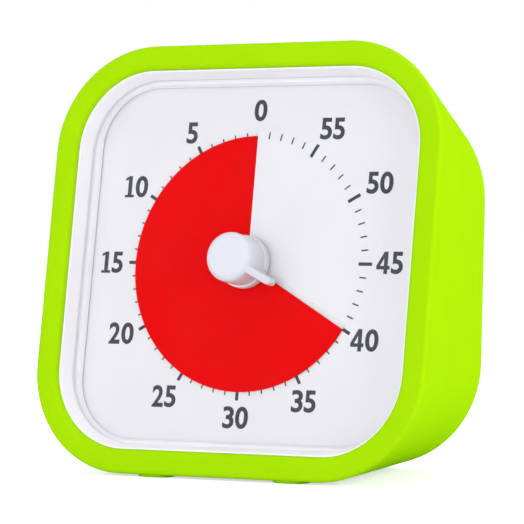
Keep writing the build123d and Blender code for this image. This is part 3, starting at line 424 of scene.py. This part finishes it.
def wound_wire():
    """Enamelled wire wound side by side along X, with painted shade in the grooves between turns.
    """
    tree, given, result = new_group("wound wire", {
        "Colour": (0.7, 0.3, 0.1, 1), "Roughness": 0.3, "Pitch": 0.00016, "Depth": 0.00003,
    })
    spot = node(tree, "TexCoord").outputs["Object"]
    shaken = node(tree, "VectorMath", {
        0: spot, 1: node(tree, "VectorMath", {
            0: node(tree, "TexNoise", {"Vector": spot, "Scale": 500}).outputs["Color"],
            1: (0.00006, 0, 0)}, operation="MULTIPLY").outputs[0]}, operation="ADD").outputs[0]
    along = node(tree, "SeparateXYZ", {0: shaken}).outputs[0]
    phase = maths(tree, "MULTIPLY", maths(tree, "DIVIDE", along, given["Pitch"]), math.pi)
    strand = maths(tree, "ABSOLUTE", maths(tree, "SINE", phase))
    # Painted shade: the colour darkens towards dark brown where neighbouring turns meet, in the
    # grooves between them; the same strand also sets the real bump
    tint = blended(tree, spread(tree, strand, 0, 0.7, 0.75, 0), given["Colour"],
                   (0.12, 0.03, 0.01, 1))
    rough = maths(tree, "ADD", given["Roughness"],
                  spread(tree, noise(tree, spot, 900, 2), 0.3, 0.7, -0.05, 0.12))
    give(tree, result, tint, rough, strand, given["Depth"])
    return tree


def etched_board():
    """Solder mask over etched tracks, with round pads."""
    tree, given, result = new_group("etched board", {
        "Colour": (0.01, 0.14, 0.05, 1), "Track": (0.03, 0.26, 0.09, 1),
        "Pad": (0.70, 0.62, 0.42, 1), "Roughness": 0.35,
    })
    spot = node(tree, "TexCoord").outputs["Object"]
    parts = node(tree, "SeparateXYZ", {0: spot}).outputs
    flat = node(tree, "CombineXYZ", {0: parts[0], 1: parts[2]}).outputs[0]
    track = spread(tree, node(tree, "TexBrick", {
        "Vector": flat, "Scale": 1.0, "Mortar Size": 0.00017, "Mortar Smooth": 0.1,
        "Brick Width": 0.0042, "Row Height": 0.0012}, offset=0.37).outputs["Fac"], 0.2, 0.6)
    pad = spread(tree, node(tree, "TexVoronoi", {
        "Vector": flat, "Scale": 380.0, "Randomness": 0.15}).outputs["Distance"], 0.20, 0.17)
    tint = blended(tree, track, given["Colour"], given["Track"])
    tint = blended(tree, pad, tint, given["Pad"])
    rough = maths(tree, "SUBTRACT", given["Roughness"], maths(tree, "MULTIPLY", pad, 0.12))
    height = maths(tree, "ADD", maths(tree, "MAXIMUM", track, pad),
                   maths(tree, "MULTIPLY", noise(tree, spot, 2500, 2), 0.2))
    give(tree, result, tint, rough, height, 0.00003)
    return tree


GROUPS = {
    "moulded skin": moulded_skin, "drawn metal": drawn_metal, "wound wire": wound_wire,
    "etched board": etched_board,
}


def finish(name, group, colour=None, shader=None, **values):
    """A material whose shader takes its colour, roughness and normal from a shared group."""
    made = bpy.data.materials.new(name)
    made.use_nodes = True
    tree = made.node_tree
    shared = bpy.data.node_groups.get(group) or GROUPS[group]()
    skin = node(tree, "Group", node_tree=shared)
    if colour is not None:
        skin.inputs["Colour"].default_value = (*colour[:3], 1)
    for key, value in values.items():
        skin.inputs[key.replace("_", " ").title()].default_value = value
    principled = tree.nodes["Principled BSDF"]
    for out, socket in (("Colour", "Base Color"), ("Roughness", "Roughness"),
                        ("Normal", "Normal")):
        tree.links.new(skin.outputs[out], principled.inputs[socket])
    for key, value in (shader or {}).items():
        principled.inputs[key].default_value = value
    return made


def wear(piece, made):
    """Give a piece its material."""
    piece.data.materials.clear()
    piece.data.materials.append(made)


# ---------------------------------------------------------------- operators
class TIMER_OT_stage(bpy.types.Operator):
    """Add the camera, the soft lights, the white surroundings and the floor"""

    bl_idname = "timer.stage"
    bl_label = "Stage"

    lamps = (                  # name, place, size in metres and watts
        ("key light", (-0.60, -1.0, 0.42), 0.5, 1.5),
        ("low light", (-0.15, -1.0, 0.12), 0.32, 1.12),
        ("floor bounce", (0.05, -0.6, 0.02), 0.4, 1.08),
        ("side light", (0.95, 0.14, 0.30), 0.5, 4.2),
        ("knob light", (0.85, -0.45, 0.16), 0.3, 1.3),
        ("top light", (0.05, -0.10, 1.1), 1.0, 3.3),
        ("rear light", (-0.3, 0.95, 0.5), 0.8, 2.5),
    )
    lit_point = Vector((0, 0, 0.045))
    lens_mm, sensor_mm = 204.7, 36
    near, far = 0.01, 20       # what the camera sees, in metres
    camera_right = (0.8814, 0.4723, 0)
    camera_up = (-0.0074, 0.0138, 0.9999)
    camera_back = (0.4722, -0.8813, 0.0157)
    camera_place = (0.2896, -0.5456, 0.05314)
    sky_colour, sky_strength = (0.93, 0.96, 1, 1), 0.62
    floor_size = 12
    floor_roughness, floor_glow = 0.8, 0.6

    def execute(self, context):
        context.scene.view_settings.view_transform = "Standard"
        self.camera(context)
        self.surroundings(context)
        for name, spot, size, watts in self.lamps:
            bpy.ops.object.light_add(type="AREA", location=spot)
            lamp = context.object
            lamp.name = name
            lamp.data.size = size
            lamp.data.energy = watts
            away = Vector(spot) - self.lit_point
            lamp.rotation_euler = away.to_track_quat("Z", "Y").to_euler()
        self.floor()
        return {"FINISHED"}

    def camera(self, context):
        nothing_selected()
        bpy.ops.object.camera_add()
        camera = context.object
        camera.data.lens, camera.data.sensor_width = self.lens_mm, self.sensor_mm
        camera.data.clip_start, camera.data.clip_end = self.near, self.far
        camera.matrix_world = axes(
            self.camera_right, self.camera_up, self.camera_back, self.camera_place
        )
        context.scene.camera = camera

    def surroundings(self, context):
        """A world that lights softly, and is white where the camera or a reflection sees it."""
        world = bpy.data.worlds.new("surroundings")
        context.scene.world = world
        world.use_nodes = True
        tree = world.node_tree
        light = tree.nodes["Background"]
        light.inputs["Color"].default_value = self.sky_colour
        light.inputs["Strength"].default_value = self.sky_strength
        white = node(tree, "Background", {"Color": (1, 1, 1, 1)})
        path = node(tree, "LightPath").outputs
        seen = maths(tree, "MAXIMUM", path["Is Camera Ray"], path["Is Glossy Ray"])
        seen = maths(tree, "MAXIMUM", seen, path["Is Transmission Ray"])
        mix = node(tree, "MixShader", {0: seen, 1: light.outputs[0], 2: white.outputs[0]})
        tree.links.new(mix.outputs[0], tree.nodes["World Output"].inputs["Surface"])

    def floor(self):
        """A pale floor that the camera sees as white, apart from the shadow on it."""
        nothing_selected()
        bpy.ops.mesh.primitive_plane_add(size=self.floor_size)
        floor = named("floor")
        made = bpy.data.materials.new("pale floor")
        made.use_nodes = True
        tree = made.node_tree
        shader = tree.nodes["Principled BSDF"]
        shader.inputs["Roughness"].default_value = self.floor_roughness
        path = node(tree, "LightPath").outputs["Is Camera Ray"]
        glow = node(tree, "Emission", {"Strength": self.floor_glow})
        both = node(tree, "AddShader", {0: shader.outputs[0], 1: glow.outputs[0]})
        mix = node(tree, "MixShader", {0: path, 1: shader.outputs[0], 2: both.outputs[0]})
        tree.links.new(mix.outputs[0], tree.nodes["Material Output"].inputs["Surface"])
        wear(floor, made)


class TIMER_OT_sleeve(bpy.types.Operator):
    """Add the soft silicone sleeve with its lips and feet"""

    bl_idname = "timer.sleeve"
    bl_label = "Silicone sleeve"

    feet = ((15.5 * MM, -20.56 * MM), (12.4 * MM, 16.04 * MM))     # out from the middle, and back
    foot_root = 1.8 * MM       # how high a foot goes into the sleeve
    foot_round = 0.6 * MM

    def execute(self, context):
        sizes, colours = context.scene.timer_sizes, context.scene.timer_colours
        half = sizes.rim_size / 2
        back_in_face = FACE.inverted() @ BACK_ORIGIN
        piece = block((-half, -half, back_in_face.z), (half, half, sizes.rim_height), "sleeve")
        edit()
        pick("faces", faces_down)
        bpy.ops.transform.resize(
            value=(sizes.back_width / sizes.rim_size, sizes.back_tall / sizes.rim_size, 1),
            center_override=(0, 0, back_in_face.z),
        )
        bpy.ops.transform.translate(value=(0, back_in_face.y, 0))
        bpy.ops.transform.rotate(
            value=BACK_LEAN - TILT, orient_axis="X", center_override=back_in_face
        )
        pick("edges", upright)
        bpy.ops.mesh.bevel(
            offset=sizes.rim_corner, offset_type="OFFSET", segments=24, affect="EDGES"
        )
        pick("faces", faces_up)
        bpy.ops.mesh.inset(thickness=sizes.lip_width)
        bpy.ops.mesh.delete(type="FACE")
        pick("faces", faces_down)
        bpy.ops.mesh.inset(thickness=sizes.back_lip)
        bpy.ops.mesh.delete(type="FACE")
        leave()
        modify(
            piece, "SOLIDIFY", thickness=sizes.sleeve_wall, offset=-1, use_even_offset=True
        )
        soften(piece, sizes.soft_edge, 6)
        place(piece, FACE)
        piece = join([piece, *self.make_feet(sizes)])
        smooth(piece)
        wear(piece, finish(
            "silicone", "moulded skin", colours.silicone, {"Specular IOR Level": 0.0},
            roughness=0.55, grain_size=0.00022, grain_depth=0.000012, mottle=0.05, smudge=0.08,
            hairlines=0.0,
        ))
        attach(piece, "case")
        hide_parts("silicone_sleeve")
        return {"FINISHED"}

    def make_feet(self, sizes):
        """One foot, and its three copies."""
        wide, deep = sizes.foot_width / 2, sizes.foot_depth / 2
        (across, back), rear = self.feet
        foot = rounded_block(
            (across - wide, back - deep, 0), (across + wide, back + deep, self.foot_root),
            sizes.foot_corner, "foot", 8,
        )
        soften(foot, self.foot_round, 5)
        moves = (
            (-2 * across, 0, 0), (rear[0] - across, rear[1] - back, 0),
            (-rear[0] - across, rear[1] - back, 0),
        )
        return [foot, *(copied(foot, Matrix.Translation(move)) for move in moves)]


class TIMER_OT_window(bpy.types.Operator):
    """Add the clear lens and the white ring that holds it off the dial"""

    bl_idname = "timer.window"
    bl_label = "Window"

    ring_half = 39.75 * MM
    ring_corner = 18.5 * MM
    ring_back = 0.30 * MM      # above the dial, which leaves a fine dark joint
    ring_round = 0.12 * MM
    lens_corner = 15.55 * MM
    lens_hole = 5.6 * MM
    lens_round = 0.1 * MM
    gap = 0.05 * MM            # between the lens and its pocket
    flare = 0.7 * MM           # the window's wall leans out by this much
    past = 1.0 * MM            # how far a cutting tool goes past what it cuts

    def execute(self, context):
        sizes, colours = context.scene.timer_sizes, context.scene.timer_colours
        seat = sizes.lens_top - sizes.lens_thickness
        self.make_ring(sizes, colours, seat)
        self.make_lens(sizes, seat)
        return {"FINISHED"}

    def make_ring(self, sizes, colours, seat):
        ring = rounded_square(
            self.ring_half, self.ring_corner, self.ring_back, sizes.lens_top - self.gap,
            "window_ring",
        )
        cut(ring, rounded_square(
            sizes.lens_half + self.gap, self.lens_corner + self.gap, seat - self.gap,
            sizes.lens_top + self.past, "pocket",
        ))
        opening = rounded_square(
            sizes.window_half, sizes.window_corner, -self.past, seat + self.past, "opening"
        )
        edit()
        slope = self.flare / (seat - self.gap)
        for test, height in ((faces_up, seat + self.past), (faces_down, -self.past)):
            pick("faces", test)
            growth = 1 + slope * height / sizes.window_half
            bpy.ops.transform.resize(value=(growth, growth, 1), center_override=(0, 0, height))
        leave()
        cut(ring, opening)
        soften(ring, self.ring_round, 3)
        place(ring, FACE)
        smooth(ring)
        # the white plastic set lighter, to lift the ring's shaded walls
        wear(ring, gloss_finish("ring plastic", colours.white))
        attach(ring, "case")
        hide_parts("spacer_ring")

    def make_lens(self, sizes, seat):
        lens = rounded_square(
            sizes.lens_half, self.lens_corner, seat, sizes.lens_top, "window_lens"
        )
        cut(lens, turned(
            ((self.lens_hole, seat - self.past), (self.lens_hole, sizes.lens_top + self.past)),
            "hole",
        ))
        soften(lens, self.lens_round, 3)
        place(lens, FACE)
        smooth(lens)
        wear(lens, self.clear_plastic())
        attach(lens, "case")
        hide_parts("lens")

    def clear_plastic(self):
        """Clear plastic with faint marks, which mirrors only where it is seen at a slant."""
        made = finish(
            "clear plastic", "moulded skin", (0.10, 0.10, 0.11), {"Specular IOR Level": 0.5},
            roughness=0.04, grain_size=0.004, grain_depth=0.000004, mottle=0.1, smudge=0.2,
            hairlines=0.1,
        )
        tree = made.node_tree
        spot = node(tree, "TexCoord").outputs["Object"]
        touch = spread(tree, noise(tree, spot, 60, 5, 0.8), 0.45, 0.75, 0.003, 0.010)
        facing = node(tree, "LayerWeight", {"Blend": 0.5}).outputs["Facing"]
        gloss = spread(tree, facing, 0.45, 1.0, 0.0, 0.35)
        tree.links.new(
            maths(tree, "ADD", touch, gloss), tree.nodes["Principled BSDF"].inputs["Alpha"]
        )
        return made


class TIMER_OT_knob(bpy.types.Operator):
    """Add the knob with its pointer"""

    bl_idname = "timer.knob"
    bl_label = "Knob"

    fin_back = 2.95 * MM
    fin_under = 0.30 * MM      # below the knob's front, where the pointer starts
    fin_bend = 4.4 * MM        # out from the middle, where it starts to slope down
    fin_start = 1.2 * MM
    fin_round = 0.32 * MM
    tip_round = 0.45           # of the pointer's width
    near = 0.1 * MM            # how near a point is to the pointer's tip or top, to count
    foot = 0.12 * MM           # chamfer round the knob's back
    steps = 10                 # of the rounding of the knob's front edge

    def execute(self, context):
        sizes, colours = context.scene.timer_sizes, context.scene.timer_colours
        inner = sizes.knob_radius - sizes.knob_round
        shoulder = sizes.knob_front - sizes.knob_round
        rings = [
            (sizes.knob_radius - self.foot, sizes.knob_back),
            (sizes.knob_radius, sizes.knob_back + self.foot),
        ]
        for step in range(self.steps + 1):
            angle = step / self.steps * math.pi / 2
            rings.append((
                inner + sizes.knob_round * math.cos(angle),
                shoulder + sizes.knob_round * math.sin(angle),
            ))
        piece = turned(rings, "turning_knob", 128)
        top = sizes.knob_front - self.fin_under
        fin = block(
            (self.fin_start, -sizes.fin_width / 2, self.fin_back),
            (sizes.fin_reach, sizes.fin_width / 2, top), "fin",
        )
        edit()
        bpy.ops.mesh.select_all(action="SELECT")
        bpy.ops.mesh.bisect(plane_co=(self.fin_bend, 0, 0), plane_no=(1, 0, 0))
        tip = sizes.fin_reach - self.near
        pick("verts", lambda vert: vert.co.x > tip and vert.co.z > top - self.near)
        bpy.ops.transform.translate(value=(0, 0, sizes.fin_tip - top))
        pick("edges", lambda edge: upright(edge) and edge.verts[0].co.x > tip)
        bpy.ops.mesh.bevel(offset=self.tip_round * sizes.fin_width, segments=8, affect="EDGES")
        leave()
        soften(fin, self.fin_round, 5, 25)
        modify(piece, "BOOLEAN", operation="UNION", solver="EXACT", object=fin)
        bpy.data.objects.remove(fin)
        place(piece, FACE @ Matrix.Rotation(math.pi / 2 + REST_TURN, 4, "Z"))
        smooth(piece)
        # the knob's colour is the white plastic painted darker, as shade against the stronger
        # light on its front
        wear(piece, gloss_finish("knob plastic", colours.knob))
        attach(piece, "turning")
        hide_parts("knob")
        return {"FINISHED"}


class TIMER_OT_dial_print(bpy.types.Operator):
    """Print the numerals and the minute marks on the dial"""

    bl_idname = "timer.dial_print"
    bl_label = "Dial print"

    unit = 28.1 * MM           # the radius that the numerals' places are given in
    lift = 2 * MM              # where the ink is laid out, before it goes down on the dial
    strip = 0.7 * MM           # how finely a numeral is divided, to follow the dial's slope
    strips = 5                 # on each side of a numeral's middle
    numerals = {               # where each numeral's middle is, right and up
        "0": (0, 1.1325), "5": (-0.560, 0.972), "10": (-0.997, 0.5705), "15": (-1.1495, 0),
        "20": (-1.0175, -0.531), "25": (-0.6075, -0.9885), "30": (0, -1.127),
        "35": (0.5425, -0.9935), "40": (0.988, -0.545), "45": (1.14, 0.0125), "50": (1.015, 0.59),
        "55": (0.601, 0.9895),
    }
    five_marks = (25.25 * MM, 28.2 * MM, 0.70 * MM)        # inner and outer radius, and width
    minute_marks = (25.8 * MM, 27.3 * MM, 0.30 * MM)
    ink_gap = 0.004 * MM       # between the ink and the dial
    widths = {"0": 0.65, "1": 0.48, "2": 0.59, "3": 0.57, "4": 0.645, "5": 0.575}
    between = 0.07             # the gap between two digits, for a height of 1
    merged = 0.001             # points of an outline this near to each other become one
    bolder = {"0": 0.028, "2": 0.026, "3": 0.024, "5": 0.026}
    drawn = {                  # outlines for a height of 1; those of one digit meet at an edge
        "1": ((
            (0, 0), (0.43, 0), (0.43, 0.12), (0.31, 0.12), (0.31, 1), (0.19, 1), (0, 0.905),
            (0, 0.775), (0.13, 0.84), (0.13, 0.12), (0, 0.12),
        ),),
        "4": ((
            (0.35, 0), (0.53, 0), (0.53, 0.20), (0.63, 0.20), (0.63, 0.36), (0.53, 0.36),
            (0.53, 1), (0.35, 1), (0.35, 0.70), (0.35, 0.36), (0.35, 0.20),
        ), (
            (0, 0.20), (0.35, 0.20), (0.35, 0.36), (0.17, 0.36), (0.35, 0.70), (0.35, 1),
            (0, 0.37),
        )),
    }

    def execute(self, context):
        sizes, colours = context.scene.timer_sizes, context.scene.timer_colours
        marks = [
            self.numeral(text, across * self.unit, up * self.unit, sizes)
            for text, (across, up) in self.numerals.items()
        ]
        long, short = self.mark(*self.five_marks), self.mark(*self.minute_marks)
        for minute in range(1, 60):
            turned_by = Matrix.Rotation(minute / 60 * 2 * math.pi, 4, "Z")
            marks.append(copied(short if minute % 5 else long, turned_by))
        nothing_selected()
        long.select_set(True)
        short.select_set(True)
        bpy.ops.object.delete()
        piece = join(marks)
        piece.name = piece.data.name = "dial_print"
        piece.matrix_world = FACE
        modify(
            piece, "SHRINKWRAP", target=NODES["dial_plate"], wrap_method="PROJECT",
            use_project_z=True, use_negative_direction=True, use_positive_direction=False,
            wrap_mode="ABOVE_SURFACE", offset=self.ink_gap,
        )
        modify(piece, "SOLIDIFY", thickness=sizes.ink_depth, offset=1)
        place(piece)
        wear(piece, finish(
            "ink", "moulded skin", colours.ink, {"Specular IOR Level": 0.2}, roughness=0.5,
            grain_size=0.00015, grain_depth=0.000004, mottle=0.25, smudge=0.1, hairlines=0.1,
        ))
        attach(piece, "case")
        return {"FINISHED"}

    def mark(self, inner, outer, width):
        """A minute mark, above the dial's middle."""
        nothing_selected()
        bpy.ops.mesh.primitive_plane_add(size=1, location=(0, (inner + outer) / 2, self.lift))
        mark = named("mark")
        mark.scale = (width, outer - inner, 1)
        place(mark)
        edit()
        bpy.ops.mesh.select_all(action="SELECT")
        bpy.ops.mesh.subdivide(number_cuts=4)
        leave()
        return mark

    def numeral(self, text, across, up, sizes):
        """A minute numeral of one or two digits round its middle."""
        tall = sizes.numeral_height
        whole = sum(self.widths[digit] for digit in text) + self.between * (len(text) - 1)
        left = across - whole * tall / 2
        digits = []
        for digit in text:
            glyph = (self.outlined if digit in self.drawn else self.lettered)(digit)
            xs = [vertex.co.x for vertex in glyph.data.vertices]
            ys = [vertex.co.y for vertex in glyph.data.vertices]
            wide = self.widths[digit] * tall
            glyph.data.transform(
                Matrix.Translation((left, up - tall / 2, self.lift))
                @ Matrix.Diagonal((wide / (max(xs) - min(xs)), tall / (max(ys) - min(ys)), 1, 1))
                @ Matrix.Translation((-min(xs), -min(ys), 0))
            )
            left += wide + self.between * tall
            digits.append(glyph)
        words = join(digits)
        edit()
        for index in range(-self.strips, self.strips + 1):
            for point, normal in (
                ((across + index * self.strip, up, 0), (1, 0, 0)),
                ((across, up + index * self.strip, 0), (0, 1, 0)),
            ):
                bpy.ops.mesh.select_all(action="SELECT")
                bpy.ops.mesh.bisect(plane_co=point, plane_no=normal)
        leave()
        return words

    def lettered(self, digit):
        """A digit in Blender's own font, made a little bolder."""
        nothing_selected()
        bpy.ops.object.text_add()
        glyph = bpy.context.object
        glyph.data.body = digit
        glyph.data.offset = self.bolder[digit]
        bpy.ops.object.convert(target="MESH")
        glyph = named("digit")
        place(glyph)
        return glyph

    def outlined(self, digit):
        """A digit from its outlines, each a filled face."""
        parts = []
        for outline in self.drawn[digit]:
            nothing_selected()
            bpy.ops.mesh.primitive_circle_add(vertices=len(outline), fill_type="NGON")
            part = named("digit")
            for index, (x, y) in zip(part.data.polygons[0].vertices, outline):
                part.data.vertices[index].co = (x, y, 0)
            part.data.update()
            parts.append(part)
        glyph = join(parts)
        edit()
        bpy.ops.mesh.select_all(action="SELECT")
        bpy.ops.mesh.remove_doubles(threshold=self.merged)
        leave()
        return glyph


def gloss_finish(name, colour):
    """Smooth, slightly glossy plastic."""
    return finish(
        name, "moulded skin", colour, {"Specular IOR Level": 0.35}, roughness=0.30,
        grain_size=0.0009, grain_depth=0.000006, mottle=0.03, smudge=0.12, hairlines=0.15,
    )


class TIMER_OT_finishes(bpy.types.Operator):
    """Give the rigid pieces their finishes"""

    bl_idname = "timer.finishes"
    bl_label = "Finishes"

    band_end = 17 * MM         # the copper band's length from the cell's positive end
    cap_height = 1.35 * MM     # bare steel at the positive end
    base_height = 0.5 * MM     # and at the negative end
    band_edge = 0.02 * MM      # how soft the borders between them are
    band_shine = 0.55
    wrap_colour = (0.03, 0.03, 0.035, 1)
    copper_colour = (0.56, 0.25, 0.10, 1)
    steel_colour = (0.66, 0.65, 0.63, 1)

    def execute(self, context):
        colours = context.scene.timer_colours
        # the white plastic set lighter, to lift the bezel's shaded slopes
        self.dress(gloss_finish("bezel plastic", colours.white), "bezel_ring")
        self.dress(finish(
            "case plastic", "moulded skin", colours.case, {"Specular IOR Level": 0.35},
            roughness=0.48, grain_size=0.00035, grain_depth=0.00002, mottle=0.05, smudge=0.10,
            hairlines=0.08,
        ), "front_case", "rear_case", "battery_door", "disc_hub")
        self.plastics(colours)
        self.metals()
        self.electrics()
        return {"FINISHED"}

    def dress(self, made, *names):
        for name in names:
            wear(NODES[name], made)

    def plastics(self, colours):
        grey, nylon = (0.42, 0.43, 0.45), (0.80, 0.78, 0.70)
        for name, base, specular, rough, grain, depth, mottle, nodes in (
            ("dial", colours.dial, 0.2, 0.55, 0.00018, 0.000005, 0.02, ("dial_plate",)),
            ("red disc", colours.red, 0.03, 0.55, 0.00025, 0.000006, 0.04, ("time_disc",)),
            ("movement grey", grey, 0.4, 0.50, 0.0004, 0.00003, 0.12,
             ("movement_front", "movement_rear")),
            ("natural nylon", nylon, 0.5, 0.42, 0.0006, 0.00002, 0.12,
             ("centre_wheel", "third_wheel", "second_wheel", "rotor", "coil_bobbin")),
            ("switch black", (0.025, 0.025, 0.028), 0.4, 0.50, 0.0003, 0.00003, 0.3,
             ("switch_body", "buzzer")),
            ("lever black", (0.020, 0.020, 0.022), 0.5, 0.38, 0.0005, 0.00002, 0.3,
             ("switch_lever",)),
            ("chip", (0.018, 0.018, 0.020), 0.4, 0.55, 0.00012, 0.00001, 0.3, ("control_chip",)),
            ("red insulation", (0.55, 0.012, 0.010), 0.5, 0.35, 0.0008, 0.00002, 0.15,
             ("battery_wire_red",)),
            ("black insulation", (0.018, 0.018, 0.020), 0.5, 0.35, 0.0008, 0.00002, 0.2,
             ("battery_wire_black", "buzzer_wires")),
            ("magnet", (0.055, 0.055, 0.062), 0.5, 0.45, 0.00018, 0.00003, 0.4,
             ("rotor_magnet",)),
        ):
            self.dress(finish(
                name, "moulded skin", base, {"Specular IOR Level": specular}, roughness=rough,
                grain_size=grain, grain_depth=depth, mottle=mottle, smudge=0.1, hairlines=0.1,
            ), *nodes)
        self.dress(self.clear_film(), "edge_strip")

    def clear_film(self):
        film = finish(
            "clear film", "moulded skin", (1.0, 1.0, 1.0), {"Specular IOR Level": 0.3},
            roughness=0.3, grain_size=0.0004, grain_depth=0.000006, mottle=0.03, smudge=0.2,
        )
        tree = film.node_tree
        cloud = noise(tree, node(tree, "TexCoord").outputs["Object"], 400, 3)
        tree.links.new(
            spread(tree, cloud, 0.3, 0.7, 0.34, 0.46),
            tree.nodes["Principled BSDF"].inputs["Alpha"],
        )
        return film

    def metals(self):
        along, around = (250, 11000, 11000), (350, 15000, 350)
        for name, base, rough, lay, depth, bloom, nodes in (
            ("screw steel", (0.60, 0.60, 0.61), 0.28, around, 0.000006, 0.15,
             ("case_screws", "movement_screws")),
            ("crystal can", (0.66, 0.66, 0.66), 0.22, along, 0.000004, 0.15,
             ("quartz_crystal",)),
            ("spring steel", (0.42, 0.41, 0.40), 0.33, along, 0.000005, 0.25,
             ("clutch_washer", "spindle_clip")),
            ("turned brass", (0.78, 0.57, 0.24), 0.25, around, 0.000006, 0.2,
             ("spindle", "clutch_collar")),
            ("stator sheet", (0.46, 0.45, 0.43), 0.40, along, 0.000006, 0.3,
             ("stator", "coil_core")),
            ("nickel plate", (0.70, 0.68, 0.64), 0.24, along, 0.000004, 0.18,
             ("positive_contact", "negative_contact")),
        ):
            self.dress(finish(
                name, "drawn metal", base, {"Metallic": 1.0}, roughness=rough, lay=lay,
                depth=depth, bloom=bloom,
            ), *nodes)

    def electrics(self):
        self.dress(finish(
            "enamelled copper", "wound wire", (0.72, 0.27, 0.09), {"Metallic": 0.85},
            roughness=0.28, pitch=0.00018, depth=0.00006,
        ), "coil_winding")
        self.dress(finish("circuit board", "etched board"), "circuit_board")
        self.dress(self.cell_wrap(), "battery")

    def cell_wrap(self):
        """A plain dark cell wrap with a copper-coloured band at its positive end."""
        made = finish(
            "cell wrap", "moulded skin", roughness=0.26, grain_size=0.003, grain_depth=0.00001,
            mottle=0.1, smudge=0.15, hairlines=0.25,
        )
        tree = made.node_tree
        low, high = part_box("battery")
        skin = next(item for item in tree.nodes if item.type == "GROUP")
        across = node(
            tree, "SeparateXYZ", {0: node(tree, "TexCoord").outputs["Object"]}
        ).outputs[0]
        band_at = high[0] - self.band_end
        cap_at = high[0] - self.cap_height
        base_at = low[0] + self.base_height
        edge = self.band_edge
        band = spread(tree, across, band_at - edge, band_at + edge)
        cap = spread(tree, across, cap_at - edge, cap_at + edge)
        base = spread(tree, across, base_at + edge, base_at - edge)
        bare = maths(tree, "MAXIMUM", cap, base)
        tint = blended(tree, band, self.wrap_colour, self.copper_colour)
        tint = blended(tree, bare, tint, self.steel_colour)
        tree.links.new(tint, skin.inputs["Colour"])
        shine = maths(tree, "MAXIMUM", bare, maths(tree, "MULTIPLY", band, self.band_shine))
        tree.links.new(shine, tree.nodes["Principled BSDF"].inputs["Metallic"])
        return made


class TIMER_PT_panel(bpy.types.Panel):
    """The timer's operators and settings"""

    bl_idname = "TIMER_PT_panel"
    bl_label = "Countdown Timer"
    bl_space_type = "VIEW_3D"
    bl_region_type = "UI"
    bl_category = "Timer"

    def draw(self, context):
        for operator in OPERATORS:
            self.layout.operator(operator.bl_idname)
        for group in (context.scene.timer_sizes, context.scene.timer_colours):
            box = self.layout.box()
            for key in group.__annotations__:
                box.prop(group, key)


OPERATORS = (
    TIMER_OT_stage, TIMER_OT_sleeve, TIMER_OT_window, TIMER_OT_knob, TIMER_OT_dial_print,
    TIMER_OT_finishes,
)
CLASSES = (TimerSizes, TimerColours, *OPERATORS, TIMER_PT_panel)


def register():
    """Register the classes, and give the scene its settings."""
    for item in CLASSES:
        bpy.utils.register_class(item)
    bpy.types.Scene.timer_sizes = bpy.props.PointerProperty(type=TimerSizes)
    bpy.types.Scene.timer_colours = bpy.props.PointerProperty(type=TimerColours)


def unregister():
    del bpy.types.Scene.timer_colours
    del bpy.types.Scene.timer_sizes
    for item in reversed(CLASSES):
        bpy.utils.unregister_class(item)


def main():
    """Run every operator in order."""
    register()
    bpy.ops.timer.stage()
    bpy.ops.timer.sleeve()
    bpy.ops.timer.window()
    bpy.ops.timer.knob()
    bpy.ops.timer.dial_print()
    bpy.ops.timer.finishes()


if __name__ == "__main__":
    main()
